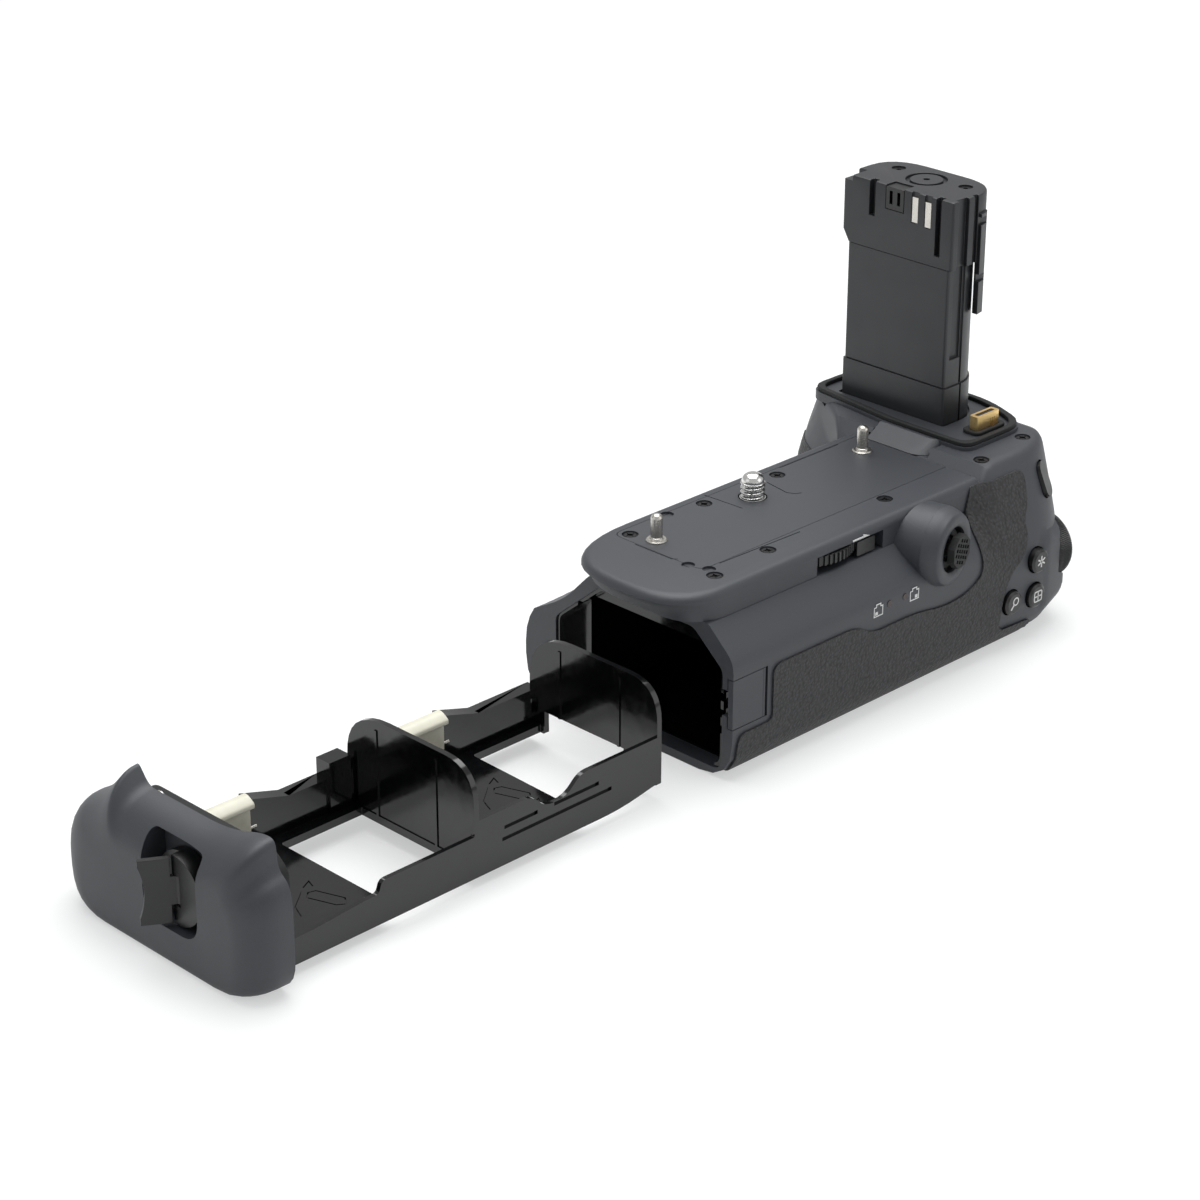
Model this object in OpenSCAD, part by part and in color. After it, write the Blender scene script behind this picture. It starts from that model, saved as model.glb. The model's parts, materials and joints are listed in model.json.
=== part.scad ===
// Battery grip for a mirrorless camera, with its battery magazine drawn out.
// Origin: on the flat base, straight below the camera screw. +X runs along the
// grip to the end with the controls, -Y faces the photographer, +Z is up.

/* [Case] */
// Height of the camera mounting face above the base
plate_z = 47.4; // [46.6:0.1:52]
// How far the rear face lies behind the camera screw
rear_d = 42; // [40:0.5:46]
// How far the front face lies before the camera screw
front_d = 30; // [28:0.5:34]
// How far the hand grip bulges before the camera screw
grip_d = 42; // [39:0.5:46]
// From the camera screw to the magazine mouth
mouth_d = 51.5; // [50:0.5:53]
// From the camera screw to the end with the controls
end_d = 88; // [87:0.25:91]
// Height of the seam between case and top cover
seam_z = 40; // [39.8:0.1:40.4]
// Wall of the case below the magazine
base_wall = 1.5; // [1.2:0.1:1.8]
// Deck behind the power tower, above the mounting face
deck_rise = 2.6; // [2:0.1:3]

/* [Top cover] */
// How far the top cover reaches from the camera screw over the magazine cap
cover_d = 62; // [61:0.25:64]
// Rear edge of the top cover, behind the camera screw
cover_rear = 33.5; // [32:0.25:34]
// Front edge of the top cover, before the camera screw
cover_front = 12; // [11:0.25:13]
// Radius of its top edge
cover_edge_r = 2.6; // [1.5:0.1:3]
// Thickness of the mounting plate let into it
plate_t = 1.5; // [1.2:0.1:1.8]

/* [Camera screw and pins] */
// Thread diameter of the camera screw, a 1/4 inch tripod thread
screw_d = 6.35; // [6:0.05:6.6]
// How far the screw stands above the mounting face
screw_h = 6.6; // [5:0.1:8]
// Diameter of the two locating pins
pin_d = 3; // [2.4:0.1:3.4]
// How far the pins stand above the mounting face
pin_h = 7.2; // [5:0.1:8]
// From the camera screw to the pin at the magazine end
pin_near_d = 37; // [34:0.25:38]
// From the camera screw to the pin at the tower end
pin_far_d = 43; // [41:0.25:44]
// Teeth on the lock wheel and on the screw's gear
gear_teeth = 20; // [20:1:21]
// Height of the lock wheel
wheel_h = 4.2; // [4:0.1:4.6]

/* [Magazine] */
// Outside width of the magazine tray
tray_w = 46.3; // [45:0.1:47]
// Length of one battery bay
bay_l = 57.5; // [57:0.25:59]
// Thickness of the walls across the tray
rib_t = 1.5; // [1.2:0.1:1.8]
// Height of the walls across the tray, above its floor
rib_h = 24.8; // [22:0.1:25]
// Height of the rear tray wall, above its floor
rear_wall_h = 10.6; // [8:0.1:12]
// Height of the front tray rail, above its floor
rail_h = 9; // [7:0.1:10]
// Level of the tray's lower edge
tray_z = 2.5; // [2.4:0.05:2.9]
// Level of the tray floor, above its lower edge
floor_rise = 3.5; // [3:0.1:4]
// Space between the tray and the chamber that it slides in
slide_gap = 0.5; // [0.4:0.05:0.7]
// Thickness of the end cap
cap_t = 10; // [9.5:0.1:10.3]

/* [Power tower] */
// Width of the power tower, that of a camera battery
tower_w = 37.5; // [36:0.1:38.4]
// Thickness of the power tower
tower_t = 20; // [19:0.1:21]
// Height of the tower above the mounting face
tower_h = 65.3; // [60:0.1:70]
// From the camera screw to the flat face of the tower
tower_d = 64; // [63.5:0.1:64.5]

/* [Controls] */
// Diameter of the round buttons
button_d = 6.6; // [6:0.1:7]
// Travel of a push button
button_travel = 0.8; // [0.5:0.1:1]
// Radius of the two dials
dial_r = 9.5; // [9:0.1:9.8]
// Thickness of the two dials
dial_t = 5.4; // [5:0.1:5.8]
// Diameter of the shutter button
shutter_d = 11; // [10:0.1:12]
// Running clearance round a shaft
shaft_gap = 0.05; // [0.02:0.01:0.09]
// Clearance round a part that moves in a pocket
move_gap = 0.35; // [0.3:0.05:0.5]

/* [Hidden] */

// Colours, as in the photograph.
shell_grey = "#3b3d40";
plate_grey = "#36383b";
leather_grey = "#2c2d2f";
gloss_black = "#0d0e0f";
rubber_black = "#1a1a1b";
steel = "#b9b4ac";
gold = "#c9a45c";
cream = "#e4e2cf";

// Corner runs and blends of the case section.
arc_n = 4;
seat = 0.02;
wall = 3.5;
liner_t = 0.8;
base_run = 11;
shoulder_z = 32.4;
low_shoulder_z = 26;
blend_start = 34;
blend_end = 54;
grip_start = 44;
grip_end = 68;
rear_round = 22;
front_round = 16;
edge_round = 7;
deck_z = plate_z + deck_rise;
recess_l = 6;

// A value that eases from a to b while x goes from x0 to x1.
function ease(a, b, x0, x1, x) = let (t = min(1, max(0, (x - x0) / (x1 - x0)))) a + (b - a) * t * t * (3 - 2 * t);
function unit(v) = v / norm(v);

// One corner of an outline, rounded by a curve that leaves each side at the corner's run.
function corner(p0, p1, p2, run, n) =
    let (a = p1 + unit(p0 - p1) * min(run, norm(p0 - p1) * 0.48),
         b = p1 + unit(p2 - p1) * min(run, norm(p2 - p1) * 0.48))
    [for (i = [0:n]) let (t = i / n) a * (1 - t) * (1 - t) + p1 * 2 * t * (1 - t) + b * t * t];

// A closed outline from corners given as [u, v, run].
function outline(c, n = arc_n) =
    [for (i = [0:len(c) - 1])
        let (p = c[(i + len(c) - 1) % len(c)], q = c[i], s = c[(i + 1) % len(c)])
        each corner([p.x, p.y], [q.x, q.y], [s.x, s.y], q.z, n)];

// How far the end rounding has drawn the section in at x.
function drawn_in(x, r) = x < end_d - r ? 0 : r - sqrt(max(0, r * r - pow(x - (end_d - r), 2)));

// Corners of the case section across X, from the rear foot round over the top to the front foot.
function case_corners(x, grow = 0) =
    let (back = -rear_d + drawn_in(x, rear_round) - grow,
         front = ease(front_d, grip_d, grip_start, grip_end, x) - drawn_in(x, front_round) + grow,
         foot = drawn_in(x, edge_round) - grow,
         top = ease(seam_z, deck_z, blend_start + 10, blend_end, x) - drawn_in(x, edge_round) + grow,
         top_rear = -cover_rear - seat + drawn_in(x, rear_round) * 0.8,
         top_front = ease(cover_front, grip_d - 8, grip_start, grip_end, x) - drawn_in(x, front_round),
         slope_z = ease(37.2, deck_z - 3, grip_start, grip_end, x) - drawn_in(x, edge_round) + grow)
    [[back, foot, base_run],
     [back, ease(shoulder_z, low_shoulder_z, blend_start, blend_end, x), ease(3, 9, blend_start, blend_end, x)],
     [top_rear, top, ease(0.6, 3, blend_start, blend_end, x)],
     [top_front, top, ease(0.6, 4, grip_start, grip_end, x)],
     [top_front + ease(0.6, 3, grip_start, grip_end, x), slope_z, 1],
     [front, ease(22, 32, grip_start, grip_end, x), 8],
     [front, foot, base_run]];

// A solid skin over rings of points with the same count.
module skin(rings) {
    n = len(rings[0]);
    last = len(rings) - 1;
    polyhedron(
        points = [for (r = rings) each r],
        faces = concat(
            [[for (i = [0:n - 1]) i]],
            [[for (i = [n - 1:-1:0]) last * n + i]],
            [for (k = [0:last - 1], i = [0:n - 1])
                let (a = k * n + i, b = k * n + (i + 1) % n) each [[a, a + n, b], [b, a + n, b + n]]]));
}

// A ring across X at x from [y, z] points, and a flat ring at height z from [x, y] points.
function across(x, pts) = [for (p = pts) [x, p.x, p.y]];
function level(z, pts) = [for (p = pts) [p.x, p.y, z]];

// The plain outline of a rounded box from corner to corner.
function box_corners(x0, y0, x1, y1, run) = [[x0, y0, run], [x1, y0, run], [x1, y1, run], [x0, y1, run]];

// A prism along X from x0 to x1 over [y, z] points.
module along_x(x0, x1, pts) translate([x0, 0, 0]) rotate([90, 0, 90]) linear_extrude(x1 - x0) polygon(pts);
// A prism upward from z0 to z1 over [x, y] points.
module upward(z0, z1, pts) translate([0, 0, z0]) linear_extrude(z1 - z0) polygon(pts);

// Magazine and chamber, both built round the tray.
tray_mid = -12.15;
tray_y0 = tray_mid - tray_w / 2;
tray_y1 = tray_mid + tray_w / 2;
floor_z = tray_z + floor_rise;
rib_top = floor_z + rib_h;
travel = 136;
cap_gap = 0.3;
cap_x = -mouth_d - travel;
tray_x0 = cap_x - cap_gap;
bay_x0 = cap_x + 0.5;
middle_x = bay_x0 + bay_l;
last_x = middle_x + rib_t + bay_l;
chamber_x = last_x + rib_t + travel + 0.8;
chamber_y0 = tray_y0 - slide_gap;
chamber_y1 = tray_y1 + slide_gap;
chamber_z0 = base_wall + liner_t;
chamber_z1 = rib_top + slide_gap;

// The mouth's recess, where the cap's rim and seal go in.
recess = outline([[-rear_d + wall, base_wall + 0.8, 3], [-rear_d + wall, 29.2, 1.5], [-28.6, 37.6, 1.5],
    [3.4, 37.6, 1.5], [19, 24.6, 1.5], [19, base_wall + 0.8, 4]], 3);

// Where the gears of the camera screw lie.
wheel_z = seam_z + 0.3;
gear_h = 1.6;
gear_r = gear_teeth / 2;
wheel_y = -19.6;
wheel_x = -sqrt(pow(2 * gear_r + 0.25, 2) - wheel_y * wheel_y);
wheel_r = 14.8;
wheel_pin_r = 1.5;
slot_x = wheel_x - 7.6;
slot_w = 24.7;

// A gear outline with straight-sided teeth one millimetre to the module.
function gear(teeth, turn = 0) =
    [for (i = [0:teeth - 1], s = [[-0.3, -1.15], [-0.16, 0.85], [0.16, 0.85], [0.3, -1.15]])
        let (a = 360 / teeth * (i + s[0]) + turn, r = teeth / 2 + s[1]) [r * cos(a), r * sin(a)]];
// A knurled outline with ribs of the given depth.
function knurl(r, ribs, depth) =
    [for (i = [0:ribs - 1], s = [[-0.3, 1], [-0.2, 0], [0.2, 0], [0.3, 1]])
        let (a = 360 / ribs * (i + s[0])) (r - s[1] * depth) * [cos(a), sin(a)]];

// Points on the rear face.
function rear_y(z, x = 60) =
    let (low = [-rear_d, low_shoulder_z], high = [-cover_rear, deck_z])
    (z < low[1] ? low[0] : low[0] + (high[0] - low[0]) * (z - low[1]) / (high[1] - low[1])) + drawn_in(x, rear_round);

// Places of the controls: [x, z] on the rear face.
lock_at = [65.2, 22.4];
frame_at = [64.6, 12.6];
zoom_at = [54.8, 13.6];
focus_at = [74.6, 40.6];
focus_turn = 24;
focus_lean = 20;
stick_at = [28.6, -42.6, 37.2];
stick_turn = 12;
rear_dial_at = [79.6, -31.9, 19.4];
main_dial_at = [79, 15, 22];
shutter_turn = 38;
multi_at = [4, 28];
switch_at = [-9, 34];

// Moves a part built along its own -Y to a rear face button.
module on_rear(at) translate([at.x, rear_y(at.y, at.x), at.y]) children();
module on_focus() translate([focus_at.x, rear_y(focus_at.y, focus_at.x), focus_at.y])
    rotate([-focus_lean, 0, focus_turn]) children();
module on_stick() translate(stick_at) rotate([0, 0, stick_turn]) children();
module on_shutter() translate([end_d - front_round, grip_d - front_round, 24]) rotate([0, 0, shutter_turn])
    translate([front_round, 0, 0]) children();
// A cylinder along -Y that starts at y0 behind the face and ends y1 before it.
module rear_round_bar(r, y0, y1) translate([0, y0, 0]) rotate([90, 0, 0]) cylinder(r = r, h = y0 + y1, $fn = 48);

// Stations of the case skin, closer together as the end rounds off.
stations = concat([for (d = [0, 0.4, 1.2, 2.4, 4, 6, 8, 11, 14, 17]) end_d - d], [for (x = [68:-3:35]) x],
    [20, -mouth_d]);
function case_ring(x, grow = 0) = across(x, outline(case_corners(x, grow)));

module case_body() {
    skin([for (x = stations) case_ring(x)]);
}
module thumb_bulge() {
    hull() {
        translate([70, -rear_d + 8, 23.5]) sphere(r = 8, $fn = 32);
        translate([76.5, -rear_d + 9, 22]) sphere(r = 7.5, $fn = 32);
        translate([76.5, -rear_d + 9, 11]) sphere(r = 7.5, $fn = 32);
        translate([70, -rear_d + 8, 10]) sphere(r = 8, $fn = 32);
    }
}
module main_case() color(shell_grey) difference() {
    union() {
        case_body();
        thumb_bulge();
        boss_root();
        translate([0, socket_y, 0]) cylinder(r = socket_r + 1.6, h = 4, $fn = 64);
    }
    along_x(-mouth_d - 1, -mouth_d + recess_l, recess);
    upward(seam_z, deck_z + 1, cover_outline(-seat));
    upward(deck_z - platform_in, deck_z + 1, platform_outline(-seat));
    ramp(seat);
    translate([-mouth_d + recess_l - 1, chamber_y0 - liner_t - seat, base_wall - seat])
        cube([chamber_x + liner_t + mouth_d - recess_l + 1 + seat, chamber_y1 - chamber_y0 + 2 * liner_t + 2 * seat,
            chamber_z1 + liner_t - base_wall + 2 * seat]);
    // Pocket for the cord cover, with its notch through the rear wall.
    translate([cover_x - 0.2, -rear_d - 1, cord_z - 0.2]) cube([cord_w + 0.5, 1 + cord_t + 0.3, cord_h + 0.4]);
    translate([-mouth_d - 1, -rear_d + 1, cord_z + 3]) cube([8, 4, 7]);
    translate([0, socket_y, -1]) cylinder(r = socket_r + seat, h = 1 + socket_h + seat, $fn = 64);
    // Pockets of the controls.
    for (at = [lock_at, frame_at, zoom_at]) on_rear(at) rear_round_bar(button_d / 2 + move_gap, pocket_in, 2);
    on_focus() oval_bar(move_gap, 5, 4);
    on_stick() boss_cone(seat);
    translate(rear_dial_at) rotate([0, 90, 0]) cylinder(r = dial_r + move_gap, h = dial_t + 2 * move_gap, center = true, $fn = 64);
    translate(rear_dial_at) rotate([0, 90, 0]) cylinder(r = axle_r, h = axle_l, center = true, $fn = 32);
    translate(main_dial_at) rotate([90, 0, 0]) cylinder(r = dial_r + 0.9 + move_gap, h = dial_t + 2 * move_gap, center = true, $fn = 64);
    translate(main_dial_at) rotate([90, 0, 0]) cylinder(r = axle_r, h = axle_l, center = true, $fn = 32);
    on_shutter() translate([-7, 0, 0]) rotate([0, 90, 0]) cylinder(r = shutter_d / 2 + 1.4 + seat, h = 12, $fn = 64);
    translate([end_d - 5.2, multi_at.x, multi_at.y]) rotate([0, 90, 0]) cylinder(r = multi_r + move_gap, h = 8, $fn = 48);
    translate([end_d - 4, switch_at.x, switch_at.y]) rotate([0, 90, 0]) cylinder(r = switch_r + move_gap, h = 8, $fn = 48);
    // Charge lamp holes.
    for (x = lamp_x) translate([x, -rear_d, lamp_z]) rear_round_bar(lamp_r + seat, 2.5, 2);
    for (p = deck_screw_at) translate([p.x, p.y, deck_z - 0.8 - seat]) cylinder(r = plate_screw_r + seat, h = 2, $fn = 32);
    // Base screw holes.
    for (p = base_screw_at) translate([p.x, p.y, -1]) cylinder(r = base_screw_r + seat, h = 1 + 1.2, $fn = 32);
}

pocket_in = 4.9;
axle_r = 1;
axle_l = 9.5;
multi_r = 2.6;
switch_r = 4.6;
socket_r = 6.4;
socket_h = 6.5;
boss_r = 10.6;
boss_front_r = 9.4;
boss_depth = 3.8;
well_r = 6.9;
well_in = 3.8;
gimbal_in = 2.4;
stick_pin_r = 0.5;
socket_y = 19.2;
lamp_x = [5.4, 11.4];
lamp_z = 29.4;
lamp_r = 0.9;
base_screw_r = 1.7;
base_screw_at = [[-40, -27], [-40, 14], [62, -27], [66, 22]];
cord_w = 11.9;
cord_h = 13;
cord_t = 1.6;
cord_z = 14.5;
cover_x = -mouth_d;

module chamber_liner() color(gloss_black) {
    x0 = -mouth_d + recess_l;
    y0 = chamber_y0;
    w = chamber_y1 - chamber_y0;
    h = chamber_z1 - chamber_z0;
    difference() {
        translate([x0, y0 - liner_t, chamber_z0 - liner_t]) cube([chamber_x - x0 + liner_t, w + 2 * liner_t, h + 2 * liner_t]);
        translate([x0 - 1, y0, chamber_z0]) cube([chamber_x - x0 + 1, w, h]);
    }
}

module chamber_contacts() color(gold)
    for (i = [0:5]) translate([chamber_x - 0.3, -8 + i * 2.6, 26]) cube([0.3, 1.2, 4.4]);

cover_x1 = 50;
// Outline of the top cover, drawn in by d.
function cover_outline(d) = outline([[-cover_d + d, -cover_rear + d, 15], [cover_x1, -cover_rear + d, 0.01],
    [cover_x1, cover_front - d, 0.01], [-cover_d + d, cover_front - d, 13]], 8);

module top_cover() color(shell_grey) difference() {
    union() {
        skin(concat(
            [level(seam_z + seat, cover_outline(0))],
            [for (i = [0:4]) level(plate_z - cover_edge_r * (1 - sin(i * 22.5)), cover_outline(cover_edge_r * (1 - cos(i * 22.5))))]));
    }
    // Recess of the mounting plate, and the pockets of the two gears.
    upward(plate_z - plate_t - seat, plate_z + 1, plate_outline(0.15));
    translate([0, 0, seam_z - 1]) cylinder(r = gear_r + 1.3, h = plate_z - plate_t - seam_z + 1, $fn = 72);
    translate([wheel_x, wheel_y, seam_z - 1]) cylinder(r = wheel_r + 0.5, h = 1 + wheel_h + 0.7, $fn = 72);
    translate([wheel_x, wheel_y, seam_z - 1]) cylinder(r = wheel_pin_r, h = plate_z - plate_t - seam_z + 1, $fn = 32);
    translate([slot_x, -cover_rear - 1, seam_z - 1]) cube([slot_w, 6, 1 + wheel_h + 0.7]);
    for (p = cover_screw_at) translate([p.x, p.y, plate_z - 0.8 - seat]) cylinder(r = plate_screw_r + seat, h = 2, $fn = 32);
}

plate_y0 = -22;
plate_y1 = 8.2;
plate_x0 = -42;
plate_screw_r = 2.1;
cover_screw_at = [[-41.9, -26.4], [-21.7, -25.2], [22.8, -24.6]];
plate_screw_at = [[-39, 5.2], [-12, 5.6], [15, 5.2]];
flange_r = 2.7;
function plate_outline(d) = outline([[plate_x0 - d, plate_y0 - d, 3], [cover_x1 + seat, plate_y0 - d, 0.01],
    [cover_x1 + seat, plate_y1 + d, 0.01], [plate_x0 - d, plate_y1 + d, 3]], 4);

module mounting_plate() color(plate_grey) difference() {
    upward(plate_z - plate_t, plate_z, plate_outline(0));
    translate([cover_x1, plate_y0 - 1, plate_z - plate_t - 1]) cube([2, plate_y1 - plate_y0 + 2, plate_t + 2]);
    translate([0, 0, plate_z - plate_t - 1]) cylinder(r = screw_d / 2 + 0.6, h = plate_t + 2, $fn = 48);
    for (p = pin_at) translate([p.x, p.y, plate_z - plate_t - 1]) cylinder(r = flange_r + seat, h = plate_t + 2, $fn = 48);
    for (p = plate_screw_at) translate([p.x, p.y, plate_z - 0.8 - seat]) cylinder(r = plate_screw_r + seat, h = 2, $fn = 32);
}

pin_at = [[-pin_near_d, -2], [pin_far_d, 0.5]];

module plate_screws() color("#2a2b2d") {
    for (p = concat(cover_screw_at, plate_screw_at)) screw_head(p, plate_z - 0.8);
    for (p = deck_screw_at) screw_head(p, deck_z - 0.8);
}
// A small recessed head with a driver hole.
module screw_head(p, z) translate([p.x, p.y, z]) difference() {
    cylinder(r = plate_screw_r, h = 0.6, $fn = 32);
    translate([0, 0, 0.25]) cylinder(r = 0.8, h = 1, $fn = 6);
}
deck_screw_at = [[55.6, -29.2], [75.4, -27]];

module locating_pins() color(steel) for (p = pin_at) translate([p.x, p.y, plate_z]) {
    translate([0, 0, -plate_t]) cylinder(r = flange_r, h = plate_t + 0.5, $fn = 48);
    cylinder(r = pin_d / 2, h = pin_h - 1.2, $fn = 48);
    translate([0, 0, pin_h - 1.2]) cylinder(r1 = pin_d / 2, r2 = pin_d / 2 - 0.6, h = 1.2, $fn = 48);
}

// Raised seat round the tower, with its ramp towards the camera screw.
platform_h = 1;
platform_in = 2.4;
function platform_outline(d) = outline([[56 + d, -24 + d, 4], [80 - d, -24 + d, 6], [86 - d, -8 + d, 6],
    [86 - d, 26 - d, 8], [77 - d, 34 - d, 6], [60 + d, 34 - d, 4], [56 + d, 4 - d, 3]], 4);
module platform() color(shell_grey) difference() {
    union() {
        upward(deck_z - platform_in, deck_z + platform_h, platform_outline(0));
        ramp(0);
    }
    upward(deck_z + 0.2, deck_z + 3, tower_outline(tower_d, tower_t, -9.2, 27.6, 0.1));
}
module ramp(g) hull() {
    translate([cover_x1 + 0.05 - 4 * g, -15.3 - g, deck_z - platform_in - 0.1 - g]) cube([0.1, 22 + 2 * g, 0.2]);
    translate([57, -14 - g, deck_z - platform_in - 0.1 - g]) cube([0.1, 19 + 2 * g, platform_in + platform_h + 0.1 + g]);
}
module tower_gasket() color(rubber_black) difference() {
    upward(deck_z + platform_h, deck_z + platform_h + 1.2, platform_outline(0.3));
    upward(deck_z + platform_h - 1, deck_z + platform_h + 3, platform_outline(1.8));
}

// D-shaped outline of the tower, from its flat face, grown by g.
function tower_outline(x, t, y0, y1, g) = outline([[x - g, y0 - g, 0.8], [x + t + g, y0 - g, 8],
    [x + t + g, y1 + g, 12], [x - g, y1 + g, 0.8]], 6);
tower_y0 = -9.4;
seam_low = plate_z + 14;
seam_high = plate_z + 46.6;
tower_top = plate_z + tower_h;
module tower_base() color(rubber_black) upward(deck_z + 0.2, seam_low, tower_outline(tower_d, tower_t, tower_y0 + 0.4, tower_y0 + tower_w - 0.8, 0));
module tower_body() color("#2f3133") difference() {
    upward(seam_low, seam_high, tower_outline(tower_d + 0.2, tower_t - 0.8, tower_y0 + 1, tower_y0 + tower_w - 2.2, 0));
    translate([tower_d + 4.2, tower_y0 - 1, seam_low + 8]) cube([3.4, 3, seam_high]);
}
module tower_head() color("#2f3133") difference() {
    union() {
        upward(seam_high + 3.4, tower_top, tower_outline(tower_d, tower_t, tower_y0, tower_y0 + tower_w, 0));
        hull() {
            upward(seam_high, seam_high + 0.1, tower_outline(tower_d, tower_t, tower_y0, tower_y0 + tower_w - 2.4, 0));
            upward(seam_high + 3.3, seam_high + 3.4, tower_outline(tower_d, tower_t, tower_y0, tower_y0 + tower_w, 0));
        }
    }
    // Guide slots, contact windows, corner step and top recesses.
    for (s = [[18.1, 9.6, 2], [-4.4, 15.6, 1.8]])
        translate([tower_d - 1, s[0] - s[2] / 2, tower_top - s[1]]) cube([3, s[2], s[1] + 1]);
    translate([tower_d - 1, contact_y[0] - 1.1, tower_top - 8.4]) cube([1.6, 2.2, 10]);
    translate([tower_d - 1, contact_y[1] - 1.1, tower_top - 8.8]) cube([1.6, 2.2, 10]);
    translate([tower_d - 1, terminal_y - 3.2, tower_top - 6.6]) cube([5, 6.4, 8]);
    translate([tower_d - 1, tower_y0 + tower_w - 3, tower_top - 1.6]) cube([7, 5, 3]);
    translate([tower_d + 4.2, tower_y0 - 1, seam_high - 1]) cube([3.4, 2.2, tower_h]);
    translate([tower_d + 11, 9, tower_top - 0.8]) difference() {
        cylinder(r = 5.6, h = 2, $fn = 48);
        translate([0, 0, -1]) cylinder(r = 4.4, h = 4, $fn = 48);
    }
    translate([tower_d + 11, 9, tower_top - 2]) cylinder(r = 0.9, h = 3, $fn = 32);
    for (p = tower_screw_at) translate([p.x, p.y, tower_top - 1.2]) cylinder(r = 1.9 + seat, h = 2, $fn = 32);
}
contact_y = [3.6, -0.8];
terminal_y = 10.4;
tower_screw_at = [[tower_d + 13.4, 20.6], [tower_d + 13.2, -2.4]];
module tower_terminal() color("#26272a") difference() {
    translate([tower_d, terminal_y - 3, tower_top - 6.4]) cube([4, 6, 6]);
    for (i = [-1, 1]) translate([tower_d - 1, terminal_y + i * 1.3 - 0.5, tower_top - 5]) cube([3, 1, 3.6]);
}
module tower_contacts() color(steel) for (i = [0, 1])
    translate([tower_d + 0.2, contact_y[i] - 0.95, tower_top - 8.2 - i * 0.4]) cube([0.4, 1.9, 6.8]);
module tower_rail() color("#2f3133") difference() {
    translate([tower_d + 12.4, tower_y0 - 1.5, plate_z + 28]) cube([3.2, 3.3, 31]);
    for (z = [44.2, 56]) translate([tower_d + 11.4, tower_y0 - 2.5, plate_z + z]) cube([5.4, 2, 2.4]);
    upward(plate_z, tower_top, tower_outline(tower_d, tower_t, tower_y0, tower_y0 + tower_w, seat));
}
module tower_screws() color(steel) for (p = tower_screw_at) translate([p.x, p.y, tower_top - 1.2]) difference() {
    cylinder(r = 1.9, h = 0.7, $fn = 32);
    translate([0, 0, 0.3]) cylinder(r = 0.7, h = 1, $fn = 6);
}

plug_at = [70.8, -17.6];
module plug_seal() color(rubber_black) difference() {
    upward(deck_z + platform_h, deck_z + platform_h + 1, box_outline(plug_at, 12.4, 5.8, 2));
    upward(deck_z, deck_z + 4, box_outline(plug_at, 9.2, 3.1, 0.6));
}
function box_outline(at, w, d, run) = outline(box_corners(at.x - w / 2, at.y - d / 2, at.x + w / 2, at.y + d / 2, run), 3);
module contact_plug() color(gold) difference() {
    upward(deck_z + platform_h, deck_z + platform_h + 4.6, box_outline(plug_at, 9, 2.9, 0.6));
    upward(deck_z + platform_h + 3.6, deck_z + 8, box_outline(plug_at, 7, 1.3, 0.4));
}

leather_t = 0.5;
leather_top = 27.2;
// The rear foot of the case section with the wall above it, grown by g.
function foot_strip(g) = let (r = outline(case_corners(0, g)))
    concat([[r[arc_n].x, leather_top + 1]], [for (i = [arc_n:-1:1]) r[i]]);
leather_x0 = -37.6;
leather_x1 = end_d - rear_round;
front_x0 = 47;
// Edge of the rear covering: it dips beside the finger scoop and passes under the joystick and the buttons.
leather_edge = [[leather_x0, -1, 0.1], [leather_x0, leather_top, 3], [-7, leather_top, 4], [-1, 23.6, 4],
    [16, 23.6, 6], [26, 21.6, 8], [46, 19.4, 8], [50, 6.6, 3], [leather_x1, 5.6, 3], [leather_x1, -1, 0.1]];
module rear_leather() color(leather_grey) intersection() {
    along_x(leather_x0, leather_x1, concat(foot_strip(seat), [for (i = [arc_n:-1:0]) foot_strip(leather_t)[i]]));
    rotate([90, 0, 0]) linear_extrude(rear_d + 5) polygon(outline(leather_edge, 5));
}
// The front covering: a skin over the case, cut to its outline.
module front_leather() color(leather_grey) difference() {
    skin([for (x = stations) case_ring(x, leather_t)]);
    skin([for (x = concat([end_d + 1], stations, [-mouth_d - 1])) case_ring(x, seat)]);
    front_beyond();
    on_shutter() translate([-9, 0, 0]) rotate([0, 90, 0]) cylinder(r = shutter_d / 2 + 1.5, h = 16, $fn = 64);
}
module front_beyond() difference() {
    translate([-mouth_d - 5, -rear_d - 5, -5]) cube([end_d + mouth_d + 10, rear_d + grip_d + 10, deck_z + 10]);
    rotate([90, 0, 0]) translate([0, 0, -grip_d - 9]) linear_extrude(grip_d - 5)
        polygon(outline(box_corners(front_x0, 5.5, end_d - 8, 35.5, 7), 4));
}

module charge_lamps() color("#5b1f1c") for (x = lamp_x) translate([x, -rear_d, lamp_z]) rear_round_bar(lamp_r, 2.5, 0.1);

// Joystick: a boss, a gimbal ring, a stem in it and the cap on the stem.
module boss_cone(g) {
    translate([0, boss_depth + g, 0]) rotate([90, 0, 0]) cylinder(r1 = boss_r + g, r2 = boss_front_r + g, h = boss_depth + g, $fn = 64);
    rear_round_bar(well_r + 0.8 + g, well_in + 0.8 + g, -boss_depth);
    rotate([90, 0, 0]) cylinder(r1 = boss_front_r + g, r2 = boss_front_r - 0.6 + g, h = 0.8, $fn = 64);
}
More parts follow.
